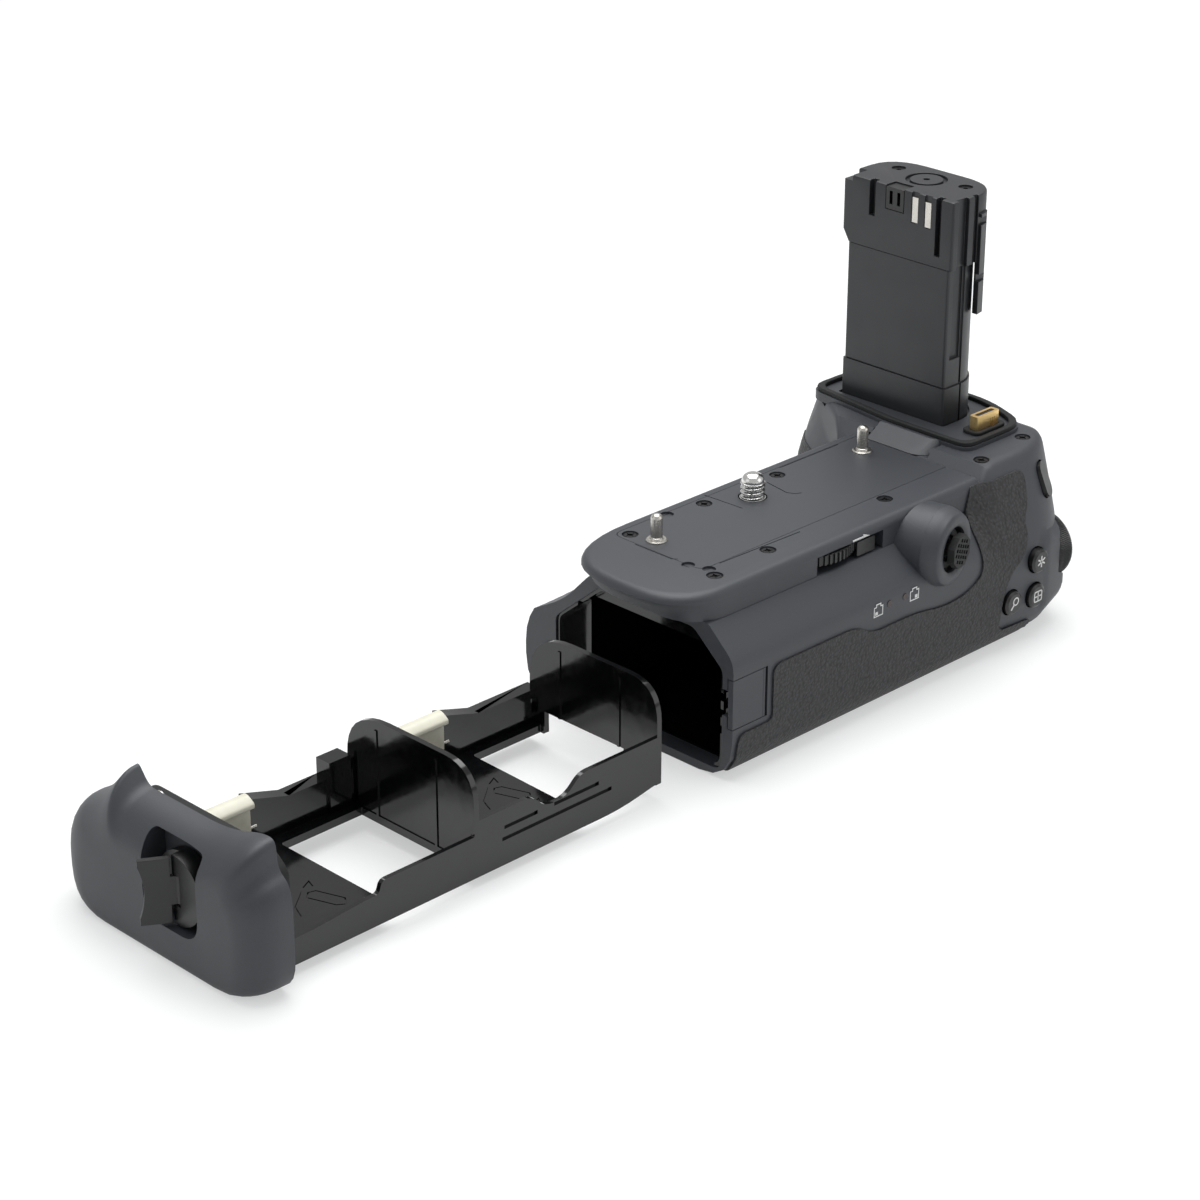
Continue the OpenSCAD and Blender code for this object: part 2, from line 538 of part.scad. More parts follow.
// What carries the boss between the shoulder and the wall of the top cover.
module boss_root() difference() {
    on_stick() rear_round_bar(boss_r, 12, 0.1 - boss_depth);
    translate([0, -cover_rear - seat, 20]) cube([60, 20, 40]);
}
module joystick_boss() color(shell_grey) on_stick() difference() {
    boss_cone(0);
    rear_round_bar(well_r, well_in, 2);
    translate([0, gimbal_in - 0.6, -8]) cylinder(r = stick_pin_r + shaft_gap, h = 16, $fn = 24);
}
module joystick_gimbal() color(rubber_black) on_stick() difference() {
    union() {
        translate([0, gimbal_in, 0]) rotate([90, 0, 0]) cylinder(r = 5.2, h = 1.2, $fn = 48);
        translate([0, gimbal_in - 0.6, -7.6]) cylinder(r = stick_pin_r, h = 15.2, $fn = 24);
    }
    rear_round_bar(3.6, 5, 2);
    translate([-4.6, gimbal_in - 0.6, 0]) rotate([0, 90, 0]) cylinder(r = stick_pin_r + shaft_gap, h = 9.2, $fn = 24);
}
module joystick_stem() color(rubber_black) on_stick() {
    translate([-4.4, gimbal_in - 0.6, 0]) rotate([0, 90, 0]) cylinder(r = stick_pin_r, h = 8.8, $fn = 24);
    translate([0, gimbal_in, 0]) rotate([90, 0, 0]) cylinder(r = 1.8, h = gimbal_in, $fn = 32);
}
module joystick_cap() color(rubber_black) on_stick() {
    translate([0, -0.8, 0]) rotate([90, 22.5, 0]) difference() {
        cylinder(r = 4.6, h = 2, $fn = 8);
        for (i = [-2:2], j = [-2:2]) if (abs(i) + abs(j) < 4)
            translate([i * 1.4 - 0.45, j * 1.4 - 0.45, 1.6]) cube([0.9, 0.9, 1]);
    }
    translate([0, 0, 0]) rotate([90, 0, 0]) difference() {
        cylinder(r = 2.8, h = 1, $fn = 32);
        translate([0, 0, -1]) cylinder(r = 1.8 + seat, h = 1.6, $fn = 32);
    }
}

socket_thread_r = screw_d / 2;
module tripod_socket() color(steel) difference() {
    translate([0, socket_y, 0]) cylinder(r = socket_r, h = socket_h, $fn = 64);
    translate([0, socket_y, -1]) cylinder(r = socket_thread_r, h = socket_h - 0.2, $fn = 48);
}
module base_screws() color("#2a2b2d") for (p = base_screw_at) translate([p.x, p.y, 0.2]) difference() {
    cylinder(r = base_screw_r, h = 1, $fn = 32);
    translate([0, 0, -1]) cylinder(r = 0.7, h = 1.6, $fn = 6);
}

// Camera screw with the gear that the lock wheel turns.
module camera_screw() color(steel) {
    translate([0, 0, wheel_z]) linear_extrude(gear_h) polygon(gear(gear_teeth, 180 / gear_teeth + screw_phase));
    translate([0, 0, wheel_z + gear_h]) cylinder(r = screw_d / 2 + 0.2, h = plate_z - wheel_z - gear_h, $fn = 48);
    translate([0, 0, plate_z]) cylinder(r = screw_d / 2, h = screw_h - 1, $fn = 48);
    translate([0, 0, plate_z + screw_h - 1]) cylinder(r1 = screw_d / 2, r2 = screw_d / 2 - 1, h = 1, $fn = 48);
}
mesh_turn = atan2(wheel_y, wheel_x);
screw_phase = mesh_turn - 360 / gear_teeth * floor(mesh_turn / (360 / gear_teeth));
module lock_wheel() color(rubber_black) translate([wheel_x, wheel_y, wheel_z]) difference() {
    union() {
        linear_extrude(gear_h) rotate([0, 0, mesh_turn + 180]) polygon(gear(gear_teeth));
        translate([0, 0, gear_h]) linear_extrude(wheel_h - gear_h) polygon(knurl(wheel_r, 60, 0.45));
    }
    translate([0, 0, -1]) cylinder(r = wheel_pin_r + shaft_gap, h = wheel_h + 2, $fn = 32);
}
module lock_wheel_pin() color(steel) translate([wheel_x, wheel_y, seam_z])
    cylinder(r = wheel_pin_r, h = plate_z - plate_t - seam_z, $fn = 32);

// Push buttons, each a cap on a short stem.
module round_button(at) color(rubber_black) on_rear(at) {
    rear_round_bar(button_d / 2, 2.6, 0.9);
    translate([0, -0.9, 0]) rotate([90, 0, 0]) cylinder(r1 = button_d / 2, r2 = button_d / 2 - 0.7, h = 0.5, $fn = 48);
    rear_round_bar(1.6, pocket_in - button_travel - move_gap, 0);
}
module lock_button() round_button(lock_at);
module frame_button() round_button(frame_at);
module zoom_button() round_button(zoom_at);
module oval_bar(g, y0, y1) for (z = [-2.6, 2.6]) translate([0, 0, z]) {
    rear_round_bar(2.4 + g, y0, y1);
    if (z < 0) translate([-2.4 - g, -y1, 0]) cube([4.8 + 2 * g, y0 + y1, 5.2]);
}
module focus_button() color(rubber_black) on_focus() {
    oval_bar(0, 2.6, 1);
    rear_round_bar(1.4, 4.2, 0);
}

// Dials on their axles.
module dial(r) difference() {
    linear_extrude(dial_t, center = true) polygon(knurl(r, 44, 0.5));
    cylinder(r = axle_r + shaft_gap, h = dial_t + 2, center = true, $fn = 32);
}
module rear_dial() color(rubber_black) translate(rear_dial_at) rotate([0, 90, 0]) dial(dial_r);
module rear_dial_axle() color(steel) translate(rear_dial_at) rotate([0, 90, 0]) cylinder(r = axle_r, h = axle_l, center = true, $fn = 32);
module main_dial() color(rubber_black) translate(main_dial_at) rotate([90, 0, 0]) dial(dial_r + 0.9);
module main_dial_axle() color(steel) translate(main_dial_at) rotate([90, 0, 0]) cylinder(r = axle_r, h = axle_l, center = true, $fn = 32);

module shutter_collar() color(shell_grey) on_shutter() translate([-7, 0, 0]) rotate([0, 90, 0]) difference() {
    cylinder(r = shutter_d / 2 + 1.4, h = 7.6, $fn = 64);
    translate([0, 0, 1]) cylinder(r = shutter_d / 2 + move_gap, h = 8, $fn = 64);
}
module shutter_button() color(rubber_black) on_shutter() translate([-3.8, 0, 0]) rotate([0, 90, 0]) {
    cylinder(r = shutter_d / 2, h = 5, $fn = 64);
    translate([0, 0, 5]) cylinder(r1 = shutter_d / 2, r2 = shutter_d / 2 - 1, h = 0.6, $fn = 64);
    translate([0, 0, -1.1]) cylinder(r = 2, h = 2, $fn = 32);
}
module multi_button() color(rubber_black) translate([end_d - 3, multi_at.x, multi_at.y]) rotate([0, 90, 0]) {
    cylinder(r = multi_r, h = 3.8, $fn = 48);
    translate([0, 0, -1]) cylinder(r = 1.2, h = 1.1, $fn = 32);
}
module power_switch() color(rubber_black) translate([end_d - 3.7, switch_at.x, switch_at.y]) rotate([0, 90, 0]) {
    cylinder(r = switch_r, h = 4.5, $fn = 48);
    translate([-6, -1.2, 4.1]) cube([6, 2.4, 1.8]);
}

module cord_cover() color(rubber_black) translate([cover_x, -rear_d, cord_z]) {
    translate([0, 0, 0]) cube([cord_w - 1.4, cord_t, cord_h]);
    translate([cord_w - 0.8, 0.8, 0]) cylinder(r = 0.8, h = cord_h, $fn = 32);
    translate([cord_w - 2.2, 0.4, 0]) cube([1.4, 0.8, cord_h]);
}

// Magazine tray: floor with two windows, rear wall, front rail and two walls across.
rear_wall_t = 1.2;
rail_t = 4;
tray_l = last_x + rib_t - tray_x0;
module tray() color(gloss_black) difference() {
    union() {
        translate([tray_x0, tray_y0, tray_z]) cube([tray_l, rear_wall_t, floor_rise + 3]);
        translate([bay_x0 + 28, tray_y0, floor_z]) cube([middle_x - bay_x0 - 28, rear_wall_t, rear_wall_h - 3]);
        translate([middle_x, tray_y0, floor_z]) cube([last_x + rib_t - middle_x, rear_wall_t, rear_wall_h]);
        translate([tray_x0, tray_y1 - rail_t, tray_z]) cube([tray_l, rail_t, floor_rise + rail_h]);
        translate([tray_x0, tray_y0, floor_z - 2]) cube([tray_l, tray_w, 2]);
        cross_wall(middle_x);
        cross_wall(last_x);
        // Clip box and catch plate on the rail.
        translate([middle_x - 9, tray_y1 - 5, floor_z]) cube([7, 5, rail_h + 5]);
        translate([middle_x + 31, tray_y1 - 2, floor_z + rail_h - 1]) cube([8, 2, 3.4]);
    }
    // Windows through the floor.
    translate([middle_x - 23, tray_y0 + 3, tray_z - 1]) cube([21.5, tray_w - rail_t - 3, floor_rise + 2]);
    translate([last_x - 19.5, tray_y0 + 3, tray_z - 1]) cube([18.5, tray_w - rail_t - 3, floor_rise + 2]);
    // Pockets of the two bay levers.
    for (x = lever_x) translate([x - lever_l / 2 - 0.4, tray_y1 - 5.1, floor_z + 3]) cube([lever_l + 0.8, 3.6, 30]);
    for (x = lever_x) lever_pin(x);
    // Grooves along the rear wall.
    for (z = [4.2, 7.4]) translate([middle_x + 10, tray_y0 - 1, floor_z + z]) cube([32, 1.4, 1]);
}
module cross_wall(x) along_x(x, x + rib_t, outline([[tray_y0, tray_z, 0.5], [tray_y0, rib_top, 9],
    [tray_y1 - 1, rib_top, 9], [tray_y1 - 1, tray_z, 0.5]], 5));
lever_x = [middle_x + 22, bay_x0 + 20];
lever_l = 13;
lever_pin_r = 0.6;
module lever_pin(x) translate([x - lever_l / 2 - 2, tray_y1 - 3.6, floor_z + 5]) rotate([0, 90, 0])
    cylinder(r = lever_pin_r, h = lever_l + 4, $fn = 24);
// A bay lever that holds a battery down, on its pin in the rail.
module bay_lever(x) color(cream) translate([x, tray_y1 - 3.6, floor_z + 5]) difference() {
    union() {
        translate([-lever_l / 2, -1, -1.4]) cube([lever_l, 2, 9]);
        translate([-lever_l / 2, -2.8, 7.2]) cube([lever_l, 3.8, 3]);
    }
    translate([-lever_l, 0, 0]) rotate([0, 90, 0]) cylinder(r = lever_pin_r + shaft_gap, h = 2 * lever_l, $fn = 24);
}
module bay_lever_left() bay_lever(lever_x[1]);
module bay_lever_right() bay_lever(lever_x[0]);
module lever_pins() color(steel) for (x = lever_x) lever_pin(x);

// End cap: the case section, closed by a rounded outer face.
cap_top = seam_z - 0.5;
function cap_ring(x, d) = across(x, outline([[-rear_d + d, d, 11], [-rear_d + d, 32.4, 3],
    [-cover_rear - 2, cap_top - d * 0.4, 2], [9, cap_top - d * 0.4, 3], [front_d - d * 1.6, 23 - d * 0.5, 8],
    [front_d - d * 1.6, d, 11]]));
module end_cap() color(shell_grey) difference() {
    skin(concat([cap_ring(tray_x0, 0)], [for (i = [0:6]) let (a = i * 15)
        cap_ring(tray_x0 - cap_t + 6 - 6 * sin(a), 6 * (1 - cos(a)))]));
    translate([cap_face - 1, latch_at.x - recess_w / 2, latch_at.y - recess_h / 2]) rotate([90, 0, 90])
        linear_extrude(recess_dp + 1) polygon(outline(box_corners(0, 0, recess_w, recess_h, 4), 4));
    on_latch(cap_face) rotate([0, 90, 0]) cylinder(r = latch_shaft_r + shaft_gap, h = cap_t + 2, $fn = 32);
}
latch_at = [-13.8, 18.4];
recess_w = 18.6;
recess_h = 21;
recess_dp = 5.5;
cap_face = tray_x0 - cap_t;
latch_shaft_r = 2.5;
module on_latch(x) translate([x, latch_at.x, latch_at.y]) children();
module cap_seal() color(rubber_black) difference() {
    along_x(tray_x0, tray_x0 + 3.2, outline([[-rear_d + wall + 0.6, 3, 5], [-rear_d + wall + 0.6, 28.9, 1.5], [-28.4, 37, 1.5],
        [3.2, 37, 1.5], [18.4, 24.3, 1.5], [18.4, 3, 4]], 3));
    along_x(tray_x0 - 1, tray_x0 + 4, outline([[-rear_d + wall + 2.2, 4.6, 4], [-rear_d + wall + 2.2, 28.2, 1.5], [-27.7, 35.4, 1.5],
        [2.6, 35.4, 1.5], [16.8, 23.5, 1.5], [16.8, 4.6, 3]], 3));
    translate([tray_x0 - 1, tray_y0 - 0.1, 0]) cube([6, tray_w + 0.2, floor_z + 2]);
}
cap_screw_at = [[-30, 30], [4, 30], [4, 10]];
module cap_screws() color(steel) for (p = cap_screw_at) translate([tray_x0, p.x, p.y]) rotate([0, 90, 0]) difference() {
    cylinder(r = 2, h = 1, $fn = 32);
    translate([0, 0, 0.5]) cylinder(r = 0.8, h = 1, $fn = 6);
}
knob_r = 8.6;
knob_t = 4.6;
knob_base = cap_face + recess_dp - 0.5;
hinge_in = 1.6;
hinge_pin_r = 0.5;
barrel_r = 1;
barrel_l = 7;
lever_root = 2;
lever_reach = 9;
lever_half = 8;
lever_out = 58;
module latch_knob() color(rubber_black) difference() {
    union() {
        on_latch(knob_base) rotate([0, -90, 0]) cylinder(r = knob_r, h = knob_t, $fn = 64);
        on_latch(knob_base) rotate([0, 90, 0]) cylinder(r = latch_shaft_r, h = tray_x0 + 2.2 - knob_base, $fn = 32);
    }
    // The half that the lever folds into, the slot of its barrel and the pin's bore.
    on_latch(cap_face - 1) translate([0, 1, -knob_r]) cube([3.6, knob_r, 2 * knob_r]);
    on_latch(cap_face - 1) translate([0, -1.4, -barrel_l / 2 - 0.3]) cube([3.8, 3, barrel_l + 0.6]);
    on_latch(cap_face + hinge_in) translate([0, 0, -barrel_l / 2 - 2]) cylinder(r = hinge_pin_r, h = barrel_l + 4, $fn = 24);
}
module latch_cam() color(steel) on_latch(tray_x0 + 0.5) rotate([0, 90, 0]) difference() {
    hull() {
        cylinder(r = 4, h = 1.6, $fn = 32);
        translate([-9, 0, 0]) cylinder(r = 2, h = 1.6, $fn = 32);
    }
    translate([0, 0, -1]) cylinder(r = latch_shaft_r + seat, h = 4, $fn = 32);
}
module latch_lever() color(rubber_black) on_latch(cap_face + hinge_in) rotate([0, 0, lever_out]) difference() {
    union() {
        translate([-0.6, lever_root, -lever_half]) cube([1.4, lever_reach - lever_root, 2 * lever_half]);
        translate([-0.6, 0, -barrel_l / 2]) cube([1.4, lever_root + 0.1, barrel_l]);
        translate([0, 0, -barrel_l / 2]) cylinder(r = barrel_r, h = barrel_l, $fn = 32);
    }
    translate([0, 0, -9]) cylinder(r = hinge_pin_r + shaft_gap, h = 18, $fn = 24);
    // Hollow free edge, for a fingertip.
    translate([-2, lever_reach + 16, 0]) rotate([0, 90, 0]) cylinder(r = 17.2, h = 4, $fn = 96);
}
module latch_pin() color(steel) on_latch(cap_face + hinge_in) translate([0, 0, -barrel_l / 2 - 2])
    cylinder(r = hinge_pin_r, h = barrel_l + 4, $fn = 24);

main_case();
chamber_liner();
chamber_contacts();
top_cover();
mounting_plate();
plate_screws();
locating_pins();
platform();
tower_gasket();
tower_base();
tower_body();
tower_head();
tower_terminal();
tower_contacts();
tower_rail();
tower_screws();
contact_plug();
plug_seal();
rear_leather();
front_leather();
charge_lamps();
joystick_boss();
tripod_socket();
base_screws();
camera_screw();
lock_wheel();
lock_wheel_pin();
joystick_gimbal();
joystick_stem();
joystick_cap();
lock_button();
frame_button();
zoom_button();
focus_button();
rear_dial();
rear_dial_axle();
main_dial();
main_dial_axle();
shutter_button();
shutter_collar();
multi_button();
power_switch();
cord_cover();
tray();
bay_lever_left();
bay_lever_right();
lever_pins();
end_cap();
cap_seal();
cap_screws();
latch_knob();
latch_cam();
latch_lever();
latch_pin();
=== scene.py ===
"""Looks of the camera battery grip, laid out as a Blender add-on and run as a script.

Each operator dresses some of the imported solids, or stands in for them with a finer shape. Shapes are drawn
in millimetres: X runs along the grip towards the power tower, the rear side lies at negative Y, and Z points
up from the flat base.
"""

import json
import math

import bmesh
import bpy
from mathutils import Matrix, Vector
from mathutils.bvhtree import BVHTree


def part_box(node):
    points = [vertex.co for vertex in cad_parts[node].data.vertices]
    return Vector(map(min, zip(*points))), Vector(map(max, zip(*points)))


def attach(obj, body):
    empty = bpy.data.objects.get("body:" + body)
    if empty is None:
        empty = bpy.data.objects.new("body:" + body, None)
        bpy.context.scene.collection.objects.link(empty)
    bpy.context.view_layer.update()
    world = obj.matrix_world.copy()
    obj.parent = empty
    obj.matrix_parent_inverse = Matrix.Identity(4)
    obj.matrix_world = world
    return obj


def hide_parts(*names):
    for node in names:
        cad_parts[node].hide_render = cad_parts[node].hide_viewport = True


bl_info = {
    "name": "Camera Battery Grip",
    "version": (1, 0, 0),
    "blender": (4, 5, 0),
    "location": "View3D > Sidebar > Battery Grip",
    "description": "Dresses the packed battery grip and sets up its studio",
    "category": "Object",
}

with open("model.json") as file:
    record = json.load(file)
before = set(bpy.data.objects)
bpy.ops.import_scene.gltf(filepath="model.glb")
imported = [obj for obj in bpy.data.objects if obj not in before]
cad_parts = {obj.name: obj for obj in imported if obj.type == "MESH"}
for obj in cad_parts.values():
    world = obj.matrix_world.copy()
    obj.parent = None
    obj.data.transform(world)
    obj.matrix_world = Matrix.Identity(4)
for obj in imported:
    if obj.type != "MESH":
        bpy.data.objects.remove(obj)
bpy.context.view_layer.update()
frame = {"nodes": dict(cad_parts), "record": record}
NODES = frame["nodes"]
BODIES = frame["record"]["behaviour"]["bodies"]
BODY_OF = {name: body for body, names in BODIES.items() for name in names}
MM = 0.001
# Points of a solid that lie closer than this, in metres, are one point.
WELD_GAP = 2e-6

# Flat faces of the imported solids, in mm.
PLATE_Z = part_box("mounting_plate")[1].z / MM
DECK_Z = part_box("platform")[1].z / MM - 1
COVER_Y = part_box("top_cover")[0].y / MM
TOWER_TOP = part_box("tower_head")[1].z / MM

# The housing in mm, as the solids have it: its rear wall, the joint below its top cover, the magazine's
# mouth and chamber, the lock wheel's axis, and the places of the screws and pins.
REAR_Y = -42.0
SEAM_Z = 40.0
MOUTH_X = -51.5
CHAMBER_X1 = 67.8
CHAMBER_Y0, CHAMBER_Y1 = -35.8, 11.5
CHAMBER_Z0, CHAMBER_Z1 = 2.3, 31.3
LINER_T = 0.8
WHEEL_X, WHEEL_Y = -5.09, -19.6
COVER_SCREWS = ((-41.9, -26.4), (-21.7, -25.2), (22.8, -24.6))
PLATE_SCREWS = ((-39, 5.2), (-12, 5.6), (15, 5.2))
DECK_SCREWS = ((55.6, -29.2), (75.4, -27))
PIN_PLACES = ((-37, -2), (43, 0.5))

# The power tower in mm: its flat face, its rear side, its seams, the groove of the narrow side and the foot
# of the guide rib.
TOWER_X = 64.0
TOWER_Y = -9.4
SEAM_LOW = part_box("tower_body")[0].z / MM
SEAM_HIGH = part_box("tower_head")[0].z / MM
GROOVE_X = TOWER_X + 2.2
GROOVE_W = 4.2
GROOVE_END = GROOVE_X + GROOVE_W
RIB_Z = PLATE_Z + 32.6

# The magazine in mm: its tray, its floor, the walls of its bays, its rail and levers, and its end cap.
TRAY_X0, TRAY_X1 = -187.8, -69.0
TRAY_Y0, TRAY_Y1 = -35.3, 11.0
TRAY_Z = 2.5
FLOOR_Z = 6.0
BAY_X0, MIDDLE_X, LAST_X = -187.0, -129.5, -70.5
WALL_T = 1.2
RAIL_T = 4.0
RAIL_Z = FLOOR_Z + 9
LEVER_X = (MIDDLE_X + 22, BAY_X0 + 20)
LEVER_L = 13.0
LEVER_AXIS = (TRAY_Y1 - 3.6, FLOOR_Z + 5)
CAP_FACE = -199.3
CAP_T = 11.5
LATCH_AXIS = (-13.8, 18.4)


class GripSizes(bpy.types.PropertyGroup):
    """Sizes of the fine detail that the solids leave to the looks."""

    edge_radius: bpy.props.FloatProperty(
        name="Edge radius", description="Softening of moulded edges", default=0.22 * MM, subtype="DISTANCE")
    small_edge_radius: bpy.props.FloatProperty(
        name="Small edge radius", description="Softening of small pieces' edges", default=0.1 * MM,
        subtype="DISTANCE")
    smooth_angle: bpy.props.FloatProperty(
        name="Smooth angle", description="Edges flatter than this are shaded smooth",
        default=math.radians(32), subtype="ANGLE")
    thread_pitch: bpy.props.FloatProperty(
        name="Thread pitch", description="Pitch of the 1/4 inch camera screw", default=1.27 * MM,
        subtype="DISTANCE")
    pebble: bpy.props.FloatProperty(
        name="Pebble", description="Width of one pebble of the grip covering", default=0.8 * MM,
        subtype="DISTANCE")
    spark_grain: bpy.props.FloatProperty(
        name="Spark grain", description="Grain of the moulded case, coarser than real so that it shows",
        default=0.38 * MM, subtype="DISTANCE")


class GripColours(bpy.types.PropertyGroup):
    """Colours of the finishes, as sRGB hex."""

    case_hex: bpy.props.StringProperty(name="Case", description="Moulded case", default="#303339")
    plate_hex: bpy.props.StringProperty(name="Plate", description="Mounting plate", default="#313439")
    covering_hex: bpy.props.StringProperty(name="Covering", description="Grip covering", default="#2a2a2c")
    tower_hex: bpy.props.StringProperty(name="Tower", description="Power tower", default="#1e2023")
    tray_hex: bpy.props.StringProperty(
        name="Tray", description="Magazine tray and chamber", default="#08090a")
    rubber_hex: bpy.props.StringProperty(
        name="Rubber", description="Seals and soft covers", default="#1b1c1d")
    control_hex: bpy.props.StringProperty(
        name="Controls", description="Buttons and dials", default="#090a0b")
    cream_hex: bpy.props.StringProperty(name="Catches", description="Bay levers", default="#d2d0bf")


class StageSettings(bpy.types.PropertyGroup):
    """The camera, the lamps and the white room."""

    camera_place: bpy.props.FloatVectorProperty(
        name="Camera", description="Place of the camera", default=(-0.554746, -0.504894, 0.367625),
        subtype="TRANSLATION")
    camera_turn: bpy.props.FloatVectorProperty(
        name="Camera turn", description="Rotation of the camera",
        default=(math.radians(65), 0.0, math.radians(-44.726)), subtype="EULER")
    lens: bpy.props.FloatProperty(
        name="Lens", description="Focal length on a 36 mm frame, in mm", default=96.0)
    key_power: bpy.props.FloatProperty(
        name="Key", description="Power of the overhead lamp", default=10.0, unit="POWER")
    fill_power: bpy.props.FloatProperty(
        name="Fill", description="Power of the rear lamp", default=1.5, unit="POWER")
    cap_power: bpy.props.FloatProperty(
        name="Cap fill", description="Power of the lamp at the magazine's end", default=0.7, unit="POWER")
    sky: bpy.props.FloatProperty(name="Sky", description="Light of the white room", default=0.55)


def sizes():
    """The sizes that the sidebar shows."""
    return bpy.context.scene.grip_sizes


def srgb(code, factor=1.0):
    """An sRGB hex colour as linear RGBA, made darker or lighter by a factor."""
    values = [int(code[i:i + 2], 16) / 255 for i in (1, 3, 5)]
    linear = [v / 12.92 if v <= 0.04045 else ((v + 0.055) / 1.055) ** 2.4 for v in values]
    return tuple(min(1.0, v * factor) for v in linear) + (1.0,)


def add_node(tree, kind, inputs=None, **settings):
    """Adds a node, sets its properties, and sets or links its inputs."""
    node = tree.nodes.new(kind)
    for key, value in settings.items():
        setattr(node, key, value)
    for socket, value in (inputs or {}).items():
        if isinstance(value, bpy.types.NodeSocket):
            tree.links.new(value, node.inputs[socket])
        else:
            node.inputs[socket].default_value = value
    return node


def new_material(name):
    """An empty node material and its node tree."""
    material = bpy.data.materials.new(name)
    material.use_nodes = True
    material.node_tree.nodes.clear()
    return material, material.node_tree


def shade(material, colour, normal, roughness, metallic=0.0, **sockets):
    """Ends a material in one Principled shader."""
    tree = material.node_tree
    inputs = {"Base Color": colour, "Roughness": roughness, "Metallic": metallic}
    inputs.update(sockets)
    inputs["Normal"] = normal
    shader = add_node(tree, "ShaderNodeBsdfPrincipled", inputs)
    add_node(tree, "ShaderNodeOutputMaterial", {"Surface": shader.outputs["BSDF"]})
    return material


def varied(tree, where, code, size, amount):
    """A colour that drifts a little in brightness over patches of the given size."""
    noise = add_node(tree, "ShaderNodeTexNoise", {"Vector": where, "Scale": 1 / size, "Detail": 3.0})
    tones = {"Factor": noise.outputs["Fac"], 6: srgb(code, 1 - amount), 7: srgb(code, 1 + amount)}
    return add_node(tree, "ShaderNodeMix", tones, data_type="RGBA").outputs[2]


def spark_eroded_plastic(name, code, grain, roughness=0.52, depth=0.025 * MM):
    """Glass-filled polycarbonate from a spark-eroded mould: a fine even grain that breaks up its sheen."""
    material, tree = new_material(name)
    handling = 14 * MM
    where = add_node(tree, "ShaderNodeTexCoord").outputs["Object"]
    pits = add_node(tree, "ShaderNodeTexNoise",
                    {"Vector": where, "Scale": 1 / grain, "Detail": 4.0, "Roughness": 0.65})
    bump = add_node(tree, "ShaderNodeBump",
                    {"Height": pits.outputs["Fac"], "Distance": depth, "Strength": 1.0})
    wear = add_node(tree, "ShaderNodeTexNoise", {"Vector": where, "Scale": 1 / handling, "Detail": 2.0})
    rough = add_node(tree, "ShaderNodeMapRange",
                     {"Value": wear.outputs["Fac"], "To Min": roughness - 0.05, "To Max": roughness + 0.05})
    return shade(material, varied(tree, where, code, grain * 1.3, 0.10), bump.outputs["Normal"],
                 rough.outputs["Result"], IOR=1.58)


def pebbled_rubber(name, code, pebble):
    """Moulded elastomer with a leather grain: bumped pebbles whose colour has painted highlights on the
    crowns and painted shade in the valleys.
    """
    material, tree = new_material(name)
    where = add_node(tree, "ShaderNodeTexCoord").outputs["Object"]
    bent = add_node(tree, "ShaderNodeTexNoise", {"Vector": where, "Scale": 0.5 / pebble, "Detail": 1.0})
    warp = add_node(tree, "ShaderNodeVectorMath", {0: bent.outputs["Color"], "Scale": pebble * 1.4},
                    operation="SCALE")
    moved = add_node(tree, "ShaderNodeVectorMath", {0: where, 1: warp.outputs["Vector"]}, operation="ADD")
    pebbles = add_node(tree, "ShaderNodeTexVoronoi",
                       {"Vector": moved.outputs["Vector"], "Scale": 1 / pebble}, feature="SMOOTH_F1")
    dome = add_node(tree, "ShaderNodeMapRange",
                    {"Value": pebbles.outputs["Distance"], "From Min": 0.1, "From Max": 0.75, "To Min": 1.0,
                     "To Max": 0.0})
    bump = add_node(tree, "ShaderNodeBump",
                    {"Height": dome.outputs["Result"], "Distance": 0.22 * MM, "Strength": 1.0})
    # Painted highlights and painted shade: the colour is lighter on each pebble's crown and darker in the
    # valleys between.
    painted_pebble_light = add_node(tree, "ShaderNodeMix",
                    {"Factor": dome.outputs["Result"], 6: srgb(code, 0.4), 7: srgb(code, 1.5)},
                    data_type="RGBA")
    return shade(material, painted_pebble_light.outputs[2], bump.outputs["Normal"], 0.62, IOR=1.5)


def polished_abs(name, code):
    """ABS from a polished mould: near black, with mirror-like highlights and faint flow waves."""
    material, tree = new_material(name)
    flow_wave, dust_patch, patch = 9 * MM, 2.5 * MM, 5 * MM
    where = add_node(tree, "ShaderNodeTexCoord").outputs["Object"]
    flow = add_node(tree, "ShaderNodeTexNoise", {"Vector": where, "Scale": 1 / flow_wave, "Detail": 2.0})
    bump = add_node(tree, "ShaderNodeBump",
                    {"Height": flow.outputs["Fac"], "Distance": 0.12 * MM, "Strength": 0.6})
    dust = add_node(tree, "ShaderNodeTexNoise", {"Vector": where, "Scale": 1 / dust_patch, "Detail": 5.0})
    rough = add_node(tree, "ShaderNodeMapRange",
                     {"Value": dust.outputs["Fac"], "From Min": 0.4, "From Max": 0.8, "To Min": 0.1,
                      "To Max": 0.2})
    return shade(material, varied(tree, where, code, patch, 0.2), bump.outputs["Normal"],
                 rough.outputs["Result"], IOR=1.54)


